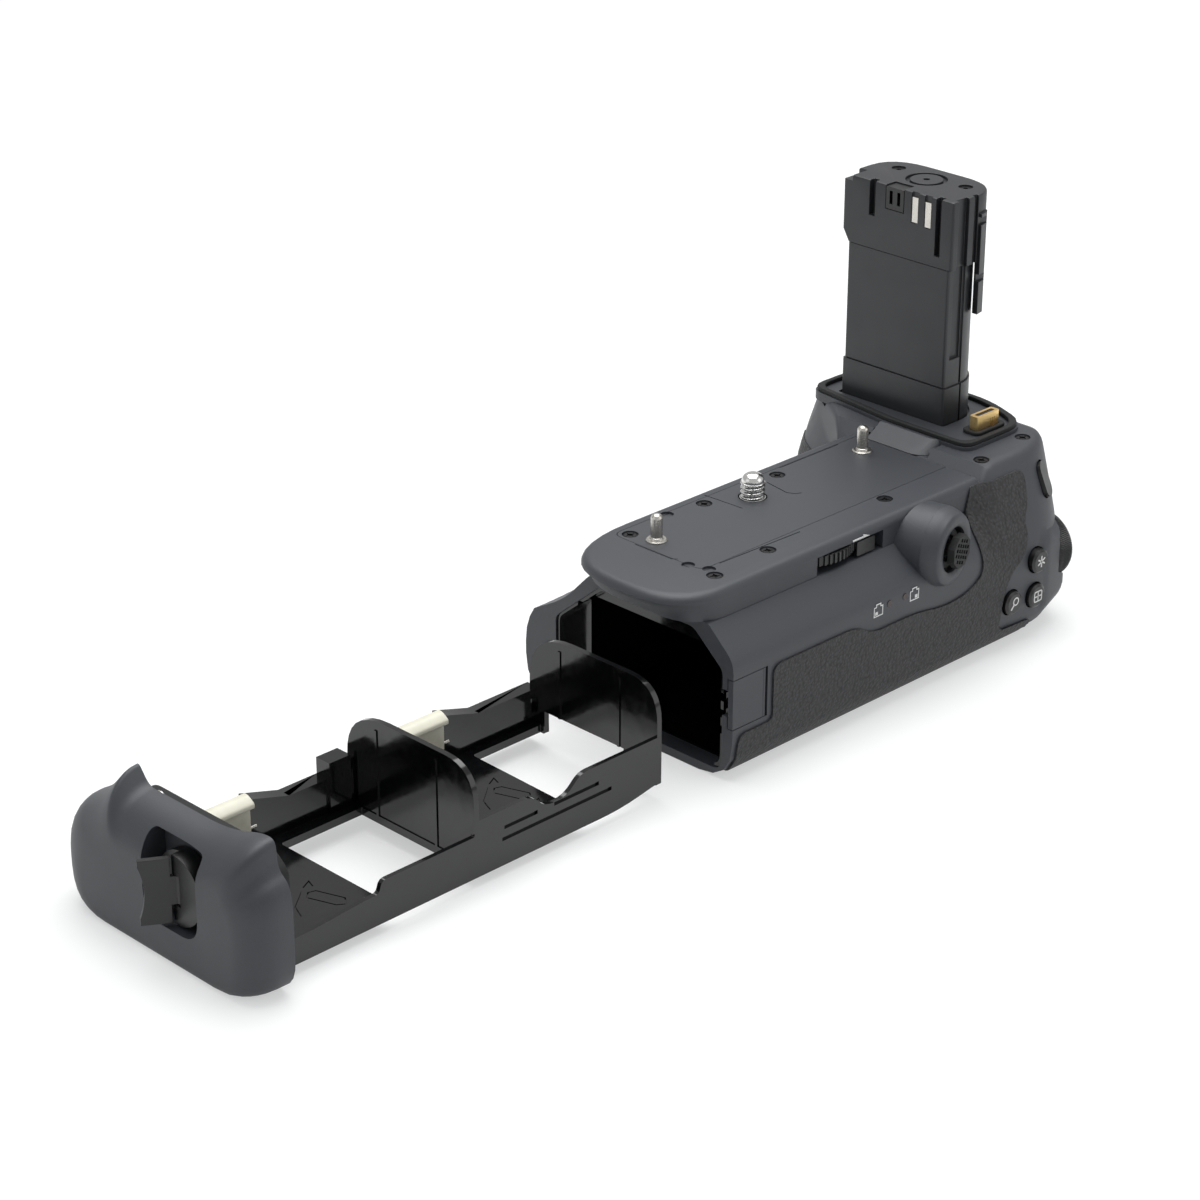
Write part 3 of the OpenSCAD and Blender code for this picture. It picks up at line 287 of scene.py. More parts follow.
def satin_plastic(name, code, roughness=0.36):
    """Satin-moulded ABS of buttons and levers: smooth, with a soft sheen and a trace of handling."""
    material, tree = new_material(name)
    # The mould's real texture is under 0.1 mm wide. It is drawn coarser so that it shows.
    texture, touch_mark, patch = 0.3 * MM, 6 * MM, 3 * MM
    where = add_node(tree, "ShaderNodeTexCoord").outputs["Object"]
    fine = add_node(tree, "ShaderNodeTexNoise", {"Vector": where, "Scale": 1 / texture, "Detail": 3.0})
    bump = add_node(tree, "ShaderNodeBump",
                    {"Height": fine.outputs["Fac"], "Distance": 0.01 * MM, "Strength": 1.0})
    touch = add_node(tree, "ShaderNodeTexNoise", {"Vector": where, "Scale": 1 / touch_mark, "Detail": 3.0})
    rough = add_node(tree, "ShaderNodeMapRange",
                     {"Value": touch.outputs["Fac"], "To Min": roughness - 0.06, "To Max": roughness + 0.08})
    return shade(material, varied(tree, where, code, patch, 0.12), bump.outputs["Normal"],
                 rough.outputs["Result"], IOR=1.54)


def seal_rubber(name, code):
    """Silicone rubber of seals and covers: matt, with a faint bloom of dust."""
    material, tree = new_material(name)
    texture, bloom = 0.5 * MM, 2 * MM
    where = add_node(tree, "ShaderNodeTexCoord").outputs["Object"]
    fine = add_node(tree, "ShaderNodeTexNoise", {"Vector": where, "Scale": 1 / texture, "Detail": 5.0})
    bump = add_node(tree, "ShaderNodeBump",
                    {"Height": fine.outputs["Fac"], "Distance": 0.03 * MM, "Strength": 1.0})
    return shade(material, varied(tree, where, code, bloom, 0.25), bump.outputs["Normal"], 0.68, IOR=1.43)


def metal(name, code, roughness, scratch):
    """A plated or turned metal: mirror-like highlights broken by fine turning marks."""
    material, tree = new_material(name)
    # The real marks lie closer than the scratch width given. They are drawn coarser so that they show.
    patch = 1.2 * MM
    where = add_node(tree, "ShaderNodeTexCoord").outputs["Object"]
    squeeze = add_node(tree, "ShaderNodeMapping", {"Vector": where, "Scale": (1.0, 1.0, 6.0)})
    marks = add_node(tree, "ShaderNodeTexNoise",
                     {"Vector": squeeze.outputs["Vector"], "Scale": 1 / scratch, "Detail": 4.0})
    bump = add_node(tree, "ShaderNodeBump",
                    {"Height": marks.outputs["Fac"], "Distance": 0.02 * MM, "Strength": 0.8})
    rough = add_node(tree, "ShaderNodeMapRange",
                     {"Value": marks.outputs["Fac"], "To Min": roughness - 0.06, "To Max": roughness + 0.1})
    return shade(material, varied(tree, where, code, patch, 0.12), bump.outputs["Normal"],
                 rough.outputs["Result"], 1.0)


def finish_material(finish):
    """The material of a finish, made when it is first asked for."""
    colours = bpy.context.scene.grip_colours
    grain = sizes().spark_grain
    recipes = {
        # The case spreads the light into a soft, low sheen, and the plate's finer grain looks smoother.
        "case": (spark_eroded_plastic, "spark_eroded_polycarbonate", colours.case_hex, grain),
        "plate": (spark_eroded_plastic, "fine_eroded_polycarbonate", colours.plate_hex, grain * 0.8, 0.5,
                  0.018 * MM),
        "covering": (pebbled_rubber, "leather_grain_elastomer", colours.covering_hex, sizes().pebble),
        # The tower is duller than the buttons, and the tray and the chamber mirror what is round them.
        "tower": (satin_plastic, "satin_moulded_polycarbonate", colours.tower_hex, 0.42),
        "gloss": (polished_abs, "polished_black_abs", colours.tray_hex),
        "rubber": (seal_rubber, "silicone_rubber", colours.rubber_hex),
        "control": (satin_plastic, "satin_black_abs", colours.control_hex),
        # Acetal looks waxy, so its sheen is tighter than that of the black plastics.
        "cream": (satin_plastic, "acetal_cream", colours.cream_hex, 0.3),
        "steel": (metal, "nickel_plated_steel", "#c9c6bf", 0.24, 0.25 * MM),
        "gold": (metal, "gold_plated_contact", "#f2d190", 0.3, 0.3 * MM),
        "bright_steel": (metal, "bright_nickel_plated_steel", "#dcdcda", 0.14, 0.4 * MM),
        # Ink lies flat and matt, and black oxide leaves steel dark and dull.
        "print": (satin_plastic, "pad_printed_ink", "#dfe0df", 0.45),
        "dark_steel": (metal, "black_oxide_steel", "#3a3a3c", 0.42, 0.25 * MM),
        "lamp": (satin_plastic, "smoked_red_acrylic", "#2a0f0e", 0.15),
    }
    make, name, *values = recipes[finish]
    return bpy.data.materials.get(name) or make(name, *values)


def smooth_group():
    """A modifier that welds a solid's facets and shades its flatter edges smooth."""
    group = bpy.data.node_groups.get("smooth_flat_edges")
    if group:
        return group
    group = bpy.data.node_groups.new("smooth_flat_edges", "GeometryNodeTree")
    for direction in ("INPUT", "OUTPUT"):
        group.interface.new_socket("Geometry", in_out=direction, socket_type="NodeSocketGeometry")
    start = add_node(group, "NodeGroupInput")
    plain = add_node(group, "GeometryNodeRemoveAttribute",
                     {"Geometry": start.outputs["Geometry"], "Name": "custom_normal"})
    weld = add_node(group, "GeometryNodeMergeByDistance",
                    {"Geometry": plain.outputs["Geometry"], "Distance": WELD_GAP})
    faces = add_node(group, "GeometryNodeSetShadeSmooth",
                     {"Geometry": weld.outputs["Geometry"], "Shade Smooth": True}, domain="FACE")
    angle = add_node(group, "GeometryNodeInputMeshEdgeAngle")
    flatter = add_node(group, "FunctionNodeCompare",
                       {0: angle.outputs["Unsigned Angle"], 1: sizes().smooth_angle},
                       data_type="FLOAT", operation="LESS_EQUAL")
    edges = add_node(group, "GeometryNodeSetShadeSmooth",
                     {"Geometry": faces.outputs["Geometry"], "Shade Smooth": flatter.outputs["Result"]},
                     domain="EDGE")
    add_node(group, "NodeGroupOutput", {"Geometry": edges.outputs["Geometry"]})
    return group


def soften(obj, radius):
    """Shades an object smooth and rounds its sharp edges by a small radius."""
    smooth = obj.modifiers.new("smooth", "NODES")
    smooth.node_group = smooth_group()
    if radius:
        bevel = obj.modifiers.new("edges", "BEVEL")
        bevel.width = radius
        bevel.segments = 2
        bevel.limit_method = "ANGLE"
        bevel.angle_limit = math.radians(38)
        bevel.harden_normals = False
        bevel.use_clamp_overlap = True


def paint(obj, finish, radius):
    """Gives an object one finish and soft edges."""
    obj.data.materials.clear()
    obj.data.materials.append(finish_material(finish))
    soften(obj, radius)


def dress(nodes, finish, radius):
    """Gives CAD nodes a finish and soft edges."""
    for name in nodes:
        paint(NODES[name], finish, radius)


def outline(corners, n=4):
    """A closed outline from (u, v, run) corners, each rounded by a curve that starts and ends a run away."""
    points = []
    for i, (u, v, run) in enumerate(corners):
        here = Vector((u, v))
        ends = []
        for u2, v2, _ in (corners[i - 1], corners[(i + 1) % len(corners)]):
            side = Vector((u2, v2)) - here
            ends.append(here + side.normalized() * min(run, side.length * 0.48))
        for k in range(n + 1):
            t = k / n
            points.append(ends[0] * (1 - t) ** 2 + here * 2 * t * (1 - t) + ends[1] * t * t)
    return points


def box_outline(u0, v0, u1, v1, run, n=4):
    """A rectangle with rounded corners."""
    return outline([(u0, v0, run), (u1, v0, run), (u1, v1, run), (u0, v1, run)], n)


def circle(u, v, radius, n=32):
    """A circle's points."""
    turns = [2 * math.pi * k / n for k in range(n)]
    return [Vector((u + radius * math.cos(a), v + radius * math.sin(a))) for a in turns]


def plane(origin, u, v):
    """A frame in metres on two axes, for shapes that are drawn on it in millimetres."""
    u, v = Vector(u).normalized(), Vector(v).normalized()
    place = Matrix((u, v, u.cross(v))).transposed().to_4x4()
    place.translation = Vector(origin)
    return Matrix.Scale(MM, 4) @ place


def upright(x, y, z=0):
    """A frame level at a place."""
    return plane((x, y, z), (1, 0, 0), (0, 1, 0))


def flat(z):
    """A frame level at the height z."""
    return upright(0, 0, z)


def rear(y):
    """A frame that faces the rear at the depth y."""
    return plane((0, y, 0), (1, 0, 0), (0, 0, 1))


def endwise(x):
    """A frame square to the grip's length at the place x."""
    return plane((x, 0, 0), (0, 1, 0), (0, 0, 1))


def across(x, points):
    """An outline's points set square to the grip's length."""
    return [(x, p[0], p[1]) for p in points]


def level(z, points):
    """An outline's points set level at a height."""
    return [(p[0], p[1], z) for p in points]


def close_skin(bm, rows):
    """Faces over rows of vertices, all of one count, with both ends closed."""
    bm.faces.new(rows[0][::-1])
    bm.faces.new(rows[-1])
    for a, b in zip(rows, rows[1:]):
        for k in range(len(a)):
            m = (k + 1) % len(a)
            bm.faces.new((a[k], a[m], b[m], b[k]))


def skin(bm, rings):
    """A closed solid over rings of points, all of one count."""
    close_skin(bm, [[bm.verts.new(Vector(p) * MM) for p in ring] for ring in rings])


def prism(bm, points, place, low, high):
    """A prism over an outline, from low to high along the frame's third axis."""
    close_skin(bm, [[bm.verts.new(place @ Vector((p[0], p[1], w))) for p in points] for w in (low, high)])


def box(bm, x0, y0, z0, x1, y1, z1):
    """A plain block between two corners."""
    prism(bm, [(x0, y0), (x1, y0), (x1, y1), (x0, y1)], flat(0), z0, z1)


def stroke(bm, points, width, place, low, high, closed=False):
    """A mitred bar of one width along a path."""
    path = [Vector(p) for p in points]
    last = len(path) - 1
    rows = []
    for i, here in enumerate(path):
        before = (here - path[i - 1]).normalized() if closed or i else (path[1] - here).normalized()
        after = (path[(i + 1) % len(path)] - here).normalized() if closed or i < last else before
        along = (before + after).normalized()
        side = Vector((-along.y, along.x)) * (width / 2 / max(0.4, along.dot(before)))
        rows.append([bm.verts.new(place @ Vector((q.x, q.y, w)))
                     for q in (here + side, here - side) for w in (low, high)])
    for i in range(len(path) if closed else last):
        a, b = rows[i], rows[(i + 1) % len(path)]
        for k, m in ((0, 1), (1, 3), (3, 2), (2, 0)):
            bm.faces.new((a[k], a[m], b[m], b[k]))
    if not closed:
        for row in (rows[0], rows[-1]):
            bm.faces.new((row[0], row[1], row[3], row[2]))


def lathe(bm, profile, place, segments=64, ripple=None):
    """A turned solid from (radius, height) pairs, whose radius may ripple round it."""
    rings = []
    for radius, height in profile:
        if radius == 0:
            rings.append([bm.verts.new(place @ Vector((0, 0, height)))])
            continue
        ring = []
        for k in range(segments):
            turn = 2 * math.pi * k / segments
            r = ripple(radius, height, turn) if ripple else radius
            ring.append(bm.verts.new(place @ Vector((r * math.cos(turn), r * math.sin(turn), height))))
        rings.append(ring)
    for a, b in zip(rings, rings[1:]):
        for k in range(segments):
            m = (k + 1) % segments
            corners = [a[0]] if len(a) == 1 else [a[k], a[m]]
            corners += [b[0]] if len(b) == 1 else [b[m], b[k]]
            bm.faces.new(corners)


def rod(bm, foot, along, radius, length, n=32):
    """A round bar from a foot along an axis."""
    axis = Vector(along)
    u = axis.orthogonal()
    prism(bm, circle(0, 0, radius, n), plane(foot, u, axis.cross(u)), 0, length)


def mesh_object(name, draw):
    """An object from what draw puts in a mesh."""
    bm = bmesh.new()
    draw(bm)
    bmesh.ops.remove_doubles(bm, verts=bm.verts, dist=1e-7)
    bmesh.ops.recalc_face_normals(bm, faces=bm.faces)
    mesh = bpy.data.meshes.new(name)
    bm.to_mesh(mesh)
    bm.free()
    obj = bpy.data.objects.new(name, mesh)
    bpy.context.scene.collection.objects.link(obj)
    return obj


def seat(obj, node, finish, radius=0, replaces=()):
    """Lets a piece ride on a CAD node's body, with a finish and soft edges."""
    paint(obj, finish, radius)
    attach(obj, BODY_OF[node])
    if replaces:
        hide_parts(*replaces)


def stand_in(node, name, draw, finish, radius=0):
    """Stands in for a CAD node with what draw makes."""
    seat(mesh_object(name, draw), node, finish, radius, (node,))


def carve(node, name, cut, finish, radius=0, draw=None):
    """Stands in for a CAD node with a copy of it, or with what draw makes, from which shapes are cut."""
    def copy(bm):
        """The node's own mesh, welded."""
        bm.from_mesh(NODES[node].data)
        bmesh.ops.remove_doubles(bm, verts=bm.verts, dist=WELD_GAP)

    obj = mesh_object(name, draw or copy)
    whole_mesh = obj.data
    cutter = mesh_object(name + "_cutter", cut)
    boolean = obj.modifiers.new("cut", "BOOLEAN")
    boolean.operation = "DIFFERENCE"
    boolean.solver = "EXACT"
    boolean.use_self = True
    boolean.object = cutter
    bpy.context.view_layer.update()
    cut_mesh = bpy.data.meshes.new_from_object(obj.evaluated_get(bpy.context.evaluated_depsgraph_get()))
    obj.modifiers.clear()
    obj.data = cut_mesh
    cut_mesh.name = name
    bpy.data.objects.remove(cutter)
    bpy.data.meshes.remove(whole_mesh)
    seat(obj, node, finish, radius, (node,))


def plate_marks(bm):
    """Mould lines and shallow blind holes in the top of the cover and the plate."""
    top = flat(PLATE_Z)
    line, hole_radius, hole_depth = 0.3, 1.7, 0.6
    for path in ([(-8.1, 9.3), (-7.4, -3.4)],
                 [(9.4, 3.6), (8, -4.4), (9, -6.4), (10.6, -7.2)],
                 [(18.8, 7.9), (41.8, 7.9)],
                 [(-42.5, 0), (-42.4, -12.4), (-41.4, -13.6)],
                 [(-36, -22.4), (-8, -23.4)]):
        stroke(bm, path, line, top, -line, 1)
    for x, y in ((-23.6, 7.4), (-42, -17.6), (-40.2, -22.9)):
        prism(bm, circle(x, y, hole_radius), top, -hole_depth, 1)


def head_marks(bm):
    """The driver cross and the stepped rim of each screw head."""
    arm, slot = 1.25, 0.36
    rim = [(1.62, -0.22), (2.6, -0.22), (2.6, 0.5), (1.5, 0.5), (1.62, -0.22)]
    places = [(x, y, PLATE_Z) for x, y in COVER_SCREWS + PLATE_SCREWS]
    for x, y, z in places + [(x, y, DECK_Z) for x, y in DECK_SCREWS]:
        top = upright(x, y, z - 0.2)
        # Each screw stopped at a turn of its own.
        turn = 0.5 + x * 0.7
        for a in (turn, turn + math.pi / 2):
            end = Vector((math.cos(a), math.sin(a))) * arm
            stroke(bm, [-end, end], slot, top, -slot, 0.5)
        lathe(bm, rim, top, 40)


def cover_rim(d, under=0.0):
    """Outline of the top cover, drawn in by d all round and by under more at its nose."""
    nose, tail, front = -61.2 + d + under, 50, 12 - d
    return outline([(nose, COVER_Y + d, 17 - under), (tail, COVER_Y + d, 0.01), (tail, front, 0.01),
                    (nose, front, 26 - under)], 10)


def cover_solid(bm):
    """The top cover, whose nose is drawn in below its rounded edge."""
    foot = SEAM_Z + 0.02
    edge = 2.2
    drawn_in = 4.8
    rings = [level(foot + t * (PLATE_Z - edge - foot), cover_rim(0, drawn_in * share))
             for t, share in ((0, 1), (0.3, 0.86), (0.6, 0.66), (0.85, 0.3), (0.97, 0.06))]
    for k in range(6):
        a = k * math.pi / 10
        rings.append(level(PLATE_Z - edge * (1 - math.sin(a)), cover_rim(edge * (1 - math.cos(a)))))
    skin(bm, rings)


def cover_cuts(bm):
    """The plate's seat, the pockets of both gears, the wheel's slot and the screws' seats."""
    floor, gear_top, above = SEAM_Z - 1, SEAM_Z + 4.9, PLATE_Z + 1
    screw_gear, wheel_gear, head_radius, head_depth = 11.3, 15.3, 2.12, 0.82
    plate_seat = outline([(-42.15, -22.15, 3), (52, -22.15, 0.01), (52, 8.35, 0.01), (-42.15, 8.35, 3)])
    prism(bm, plate_seat, flat(0), PLATE_Z - 1.52, above)
    prism(bm, circle(0, 0, screw_gear, 72), flat(0), floor, PLATE_Z - 1.5)
    prism(bm, circle(WHEEL_X, WHEEL_Y, wheel_gear, 72), flat(0), floor, gear_top)
    box(bm, WHEEL_X - 7.6, COVER_Y - 1, floor, WHEEL_X + 17.1, COVER_Y + 5, gear_top)
    for x, y in COVER_SCREWS:
        prism(bm, circle(x, y, head_radius), flat(0), PLATE_Z - head_depth, above)
    plate_marks(bm)


def case_cuts(bm):
    """The hollow slope in front of the chamber, the ramp's seat and room for the oval button's stem."""
    slope_length = 23
    rings = []
    for k in range(9):
        t = k / 8
        y = 6.5 + 5.5 * t * t * (3 - 2 * t)
        slope = outline([(y, 42, 0.1), (y, SEAM_Z - 0.2, 0.1), (y + 1.4, 38.6, 1.4),
                         (y + 9.6, 30 - t * 0.7, 5), (31, 21.8, 0.5), (36, 21, 0.1), (36, 42, 0.1)], 5)
        rings.append(across(MOUTH_X - 0.5 + slope_length * t, slope))
    skin(bm, rings)
    ramp_foot = [(49.9, 5.2, 0.1), (49.9, -11, 2), (53.4, -15.7, 3), (57.2, -15.5, 0.1), (57.2, 5.2, 0.1)]
    prism(bm, outline(ramp_foot, 3), flat(0), 47.3, 53)
    press = Vector((-0.3822, 0.8584, -0.342))
    points = [v.co / MM for v in NODES["focus_button"].data.vertices]
    reach = max(p.dot(press) for p in points)
    stem_end = [p for p in points if p.dot(press) > reach - 0.1]
    rod(bm, sum(stem_end, Vector()) / len(stem_end), press, 2, 1.2)


def mouth_rim(d):
    """Outline of the recess behind the mouth, drawn in by d."""
    low, rear_side, top = 2.32 + d, REAR_Y + 3.52 + d, 37.58 - d
    return outline([(rear_side, low, 3), (rear_side, 29.2, 1.5), (-28.6 + d / 3, top, 1.5),
                    (3.4 - d / 3, top, 1.5), (18.98 - d, 24.6, 1.5), (18.98 - d, low, 4)], 4)


def liner_solid(bm):
    """The chamber's lining, with the lip that lines the mouth's recess."""
    box(bm, MOUTH_X + 6, CHAMBER_Y0 - LINER_T, CHAMBER_Z0 - LINER_T,
        CHAMBER_X1 + LINER_T, CHAMBER_Y1 + LINER_T, CHAMBER_Z1 + LINER_T)
    prism(bm, mouth_rim(0), endwise(0), MOUTH_X + 0.5, MOUTH_X + 6.1)


def liner_cuts(bm):
    """The chamber, the lip's inside and the notches beside the cord cover's door."""
    prism(bm, mouth_rim(0.9), endwise(0), MOUTH_X - 1, MOUTH_X + 5.2)
    box(bm, MOUTH_X, CHAMBER_Y0, CHAMBER_Z0, CHAMBER_X1, CHAMBER_Y1, CHAMBER_Z1)
    for z in (12, 16.4, 20.8):
        box(bm, MOUTH_X - 1, REAR_Y + 2, z, MOUTH_X + 2.4, REAR_Y + 5, z + 2.2)


def pins_solid(bm):
    """Both locating pins, each with a flange, a stepped shoulder and a domed tip."""
    foot = PLATE_Z - 1.5
    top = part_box("locating_pins")[1].z / MM
    radius, rise = 1.5, 1.3
    angles = [k * math.pi / 16 for k in range(8)]
    dome = [(radius * math.cos(a), top - rise + rise * math.sin(a)) for a in angles]
    profile = [(0, foot), (2.7, foot), (2.7, PLATE_Z + 0.2), (2.4, PLATE_Z + 0.5), (1.75, PLATE_Z + 0.5),
               (1.62, PLATE_Z + 0.9), (radius, PLATE_Z + 1)]
    for x, y in PIN_PLACES:
        lathe(bm, profile + dome + [(0, top)], upright(x, y), 48)


class GRIP_OT_case(bpy.types.Operator):
    """Finishes the case, its top cover, its plate and its small fittings"""

    bl_idname = "grip.case"
    bl_label = "Case"

    def execute(self, context):
        small = sizes().small_edge_radius
        carve("main_case", "case_with_slope", case_cuts, "case")
        carve("top_cover", "nosed_cover", cover_cuts, "case", 0, cover_solid)
        carve("mounting_plate", "plate_with_marks", plate_marks, "plate")
        carve("plate_screws", "cross_head_screws", head_marks, "dark_steel")
        carve("platform", "platform_with_ramp", platform_cuts, "plate", small, platform_solid)
        carve("chamber_liner", "lipped_liner", liner_cuts, "gloss", 0, liner_solid)
        dress(["base_screws"], "dark_steel", small / 2)
        dress(["tripod_socket"], "steel", small)
        dress(["chamber_contacts"], "gold", 0)
        dress(["charge_lamps"], "lamp", 0)
        stand_in("locating_pins", "turned_pins", pins_solid, "steel")
        return {"FINISHED"}


# The rear covering's edge: round the cord cover, below the prints, up to the thumb rest, round the buttons.
COVERING_EDGE = [(-49.8, 1.2, 1), (-49.8, 12.6, 3), (-37.6, 12.6, 2), (-37.6, 27.2, 3), (-7, 27.2, 4),
                 (-1, 23.6, 4), (16, 23.6, 6), (27, 21.6, 6), (37, 22.6, 6), (42.6, 26.4, 4), (43.4, 38, 4),
                 (46, 46.4, 1), (65.6, 46.4, 3), (64.8, 38, 4), (61.8, 34.4, 4), (62.4, 29.4, 4),
                 (59.6, 25, 4), (53.4, 21.4, 4), (50.4, 14, 5), (50, 6.6, 3), (65, 5.6, 3), (65, 1.2, 1)]


class GRIP_OT_covering(bpy.types.Operator):
    """Makes the rear covering in one sheet from the mouth to the thumb rest, and finishes the front one"""

    bl_idname = "grip.covering"
    bl_label = "Coverings"

    lift: bpy.props.FloatProperty(
        name="Lift", description="Height of the covering above the case", default=0.5 * MM,
        subtype="DISTANCE")
    step: bpy.props.FloatProperty(
        name="Step", description="Width of one face of the sheet", default=1.0 * MM, subtype="DISTANCE")

    def execute(self, context):
        dress(["front_leather"], "covering", 0)
        trees = []
        for name in ("main_case", "top_cover"):
            solid = NODES[name].data
            trees.append(BVHTree.FromPolygons([v.co for v in solid.vertices],
                                              [p.vertices for p in solid.polygons]))

        start, inner_walls, shoulder = -70 * MM, -20 * MM, -33.5 * MM

        def depth(x, z):
            """The rear surface at a place, or the shoulder's where a ray meets none but inner walls."""
            hits = [tree.ray_cast(Vector((x, start, z)), Vector((0, 1, 0)))[0] for tree in trees]
            return min((hit.y for hit in hits if hit and hit.y < inner_walls), default=shoulder)

        def sheet(bm):
            """The covering: an outline cut into small faces, laid on the case, with its rim turned in."""
            bm.faces.new([bm.verts.new((p.x * MM, 0, p.y * MM)) for p in outline(COVERING_EDGE, 6)])
            for axis, normal in ((0, Vector((1, 0, 0))), (2, Vector((0, 0, 1)))):
                values = [v.co[axis] for v in bm.verts]
                at = min(values) + self.step
                while at < max(values):
                    bmesh.ops.bisect_plane(bm, geom=bm.verts[:] + bm.edges[:] + bm.faces[:], dist=1e-6,
                                           plane_co=normal * at, plane_no=normal)
                    at += self.step
            reach = 1.1 * MM
            heights = {}
            for v in bm.verts:
                x, z = v.co.x, v.co.z
                ring = [(x, z), (x - reach, z), (x + reach, z), (x, z + reach)]
                heights[v] = (depth(x, z) * 2 + min(depth(a, b) for a, b in ring)) / 3
            for _ in range(2):
                heights = {v: 0.5 * y + 0.5 * sum(heights[e.other_vert(v)] for e in v.link_edges)
                           / len(v.link_edges) for v, y in heights.items()}
            for v, y in heights.items():
                v.co.y = min(y, depth(v.co.x, v.co.z)) - self.lift
            rim = [e for e in bm.edges if e.is_boundary]
            grown = bmesh.ops.extrude_edge_only(bm, edges=rim)["geom"]
            for v in (g for g in grown if isinstance(g, bmesh.types.BMVert)):
                v.co.y += self.lift + 0.3 * MM

        stand_in("rear_leather", "rear_covering", sheet, "covering")
        return {"FINISHED"}


def tower_rim(x, t, y0, y1, cut=0.0):
    """D-shaped outline of the tower, t thick from its flat face, with cut more off its rear corner."""
    back = x + t
    return outline([(x, y0, 0.8), (back - 6 - cut, y0, 5), (back, y0 + 6 + cut, 7), (back, y1, 12),
                    (x, y1, 0.8)], 6)


def platform_solid(bm):
    """The raised seat of the tower with its ramp, whose near corner is round."""
    rim = [(56, -24, 4), (80, -24, 6), (86, -8, 6), (86, 26, 8), (77, 34, 6), (60, 34, 4), (56, 4, 3)]
    prism(bm, outline(rim, 6), flat(0), DECK_Z - 1.4, DECK_Z + 1)
    foot = [(50.02, 5.15, 0.1), (50.02, -11, 2), (53.4, -15.6, 3), (57.1, -15.4, 0.1), (57.1, 5.15, 0.1)]
    head = [(55.4, 5.15, 0.1), (55.4, -12.4, 1), (56.2, -14.6, 0.8), (57.1, -14.6, 0.1), (57.1, 5.15, 0.1)]
    steps = ((47.35, foot), (47.6, foot), (DECK_Z + 0.98, head))
    skin(bm, [level(z, outline(corners, 3)) for z, corners in steps])


def platform_cuts(bm):
    """The tower's seat in the platform."""
    seat_rim = tower_rim(TOWER_X - 0.1, 19.6, TOWER_Y + 0.1, 27.7, 1.8)
    prism(bm, seat_rim, flat(0), DECK_Z + 0.2, DECK_Z + 3)


def base_solid(bm):
    """The tower's foot, with the neck that leaves a shadow line below the body."""
    foot = tower_rim(TOWER_X, 19.2, TOWER_Y + 0.4, 26.6, 2)
    neck = tower_rim(TOWER_X + 0.5, 18.4, TOWER_Y + 0.9, 26, 2)
    prism(bm, foot, flat(0), DECK_Z + 0.2, SEAM_LOW - 0.15)
    prism(bm, neck, flat(0), SEAM_LOW - 0.4, SEAM_LOW + 0.2)


def base_cuts(bm):
    """The joint of the two shell halves, in the foot."""
    box(bm, GROOVE_END, TOWER_Y - 1, DECK_Z, GROOVE_END + 0.7, TOWER_Y + 1, SEAM_LOW + 1)


def body_solid(bm):
    """The tower's body between both seams."""
    rim = tower_rim(TOWER_X + 0.2, 18.8, TOWER_Y + 0.8, 26.1, 2)
    prism(bm, rim, flat(0), SEAM_LOW + 0.15, SEAM_HIGH)


def body_cuts(bm):
    """The long groove of the narrow side, and the joint of the two shell halves beside it."""
    outside, above = TOWER_Y - 1, SEAM_HIGH + 1
    box(bm, GROOVE_X, outside, SEAM_LOW + 7.5, GROOVE_END, TOWER_Y + 1.8, above)
    box(bm, GROOVE_END, outside, SEAM_LOW - 1, GROOVE_END + 0.7, TOWER_Y + 1.3, above)


def head_solid(bm):
    """The tower's head, which widens above its seam and has a softened top edge."""
    wide = tower_rim(TOWER_X, 20, TOWER_Y, 28.1)
    skin(bm, [level(SEAM_HIGH + 0.15, tower_rim(TOWER_X, 20, TOWER_Y, 26.1)),
              level(SEAM_HIGH + 3.4, wide),
              level(TOWER_TOP - 0.6, wide),
              level(TOWER_TOP - 0.17, tower_rim(TOWER_X + 0.17, 19.66, TOWER_Y + 0.17, 27.93)),
              level(TOWER_TOP, tower_rim(TOWER_X + 0.6, 18.8, TOWER_Y + 0.6, 27.5))])


def head_cuts(bm):
    """Guide slots, contact windows, the corner step and the recesses of the top."""
    face, outside, above = TOWER_X - 1, TOWER_Y - 1, TOWER_TOP + 1
    # Each slot or window: its middle, its length from the top, its width, and how far behind face it ends.
    for y, length, width, far in ((18.1, 9.6, 2, 3), (-4.4, 15.6, 1.8, 3), (3.6, 8.4, 2.2, 1.6),
                                  (-0.8, 8.8, 2.2, 1.6), (10.4, 6.6, 6.4, 5)):
        box(bm, face, y - width / 2, TOWER_TOP - length, face + far, y + width / 2, TOWER_TOP + 1.6)
    box(bm, face, 25.1, TOWER_TOP - 1.6, face + 7, 30, TOWER_TOP + 1.6)
    box(bm, GROOVE_X, outside, SEAM_HIGH - 1, GROOVE_END, TOWER_Y + 1.2, above)
    box(bm, GROOVE_END + 2.2, outside, SEAM_HIGH - 1, GROOVE_END + 3.8, TOWER_Y + 1, above)
    middle, ring_floor = (TOWER_X + 11, 9), TOWER_TOP - 0.8
    ring = [(4.4, ring_floor), (5.6, ring_floor), (5.6, above), (4.4, above), (4.4, ring_floor)]
    lathe(bm, ring, upright(*middle), 48)
    prism(bm, circle(*middle, 0.9), flat(0), TOWER_TOP - 2, above)
    for x, y in ((77.4, 20.6), (77.2, -2.4)):
        prism(bm, circle(x, y, 1.92), flat(0), TOWER_TOP - 1.2, above)


def rail_solid(bm):
    """A guide rib beside the rounded corner."""
    rib = [(74.6, TOWER_Y + 0.8), (78.4, TOWER_Y + 3.4), (78.7, TOWER_Y + 0.7), (77.4, TOWER_Y - 0.3),
           (74.6, TOWER_Y - 0.9)]
    prism(bm, rib, flat(0), RIB_Z, RIB_Z + 27.6)


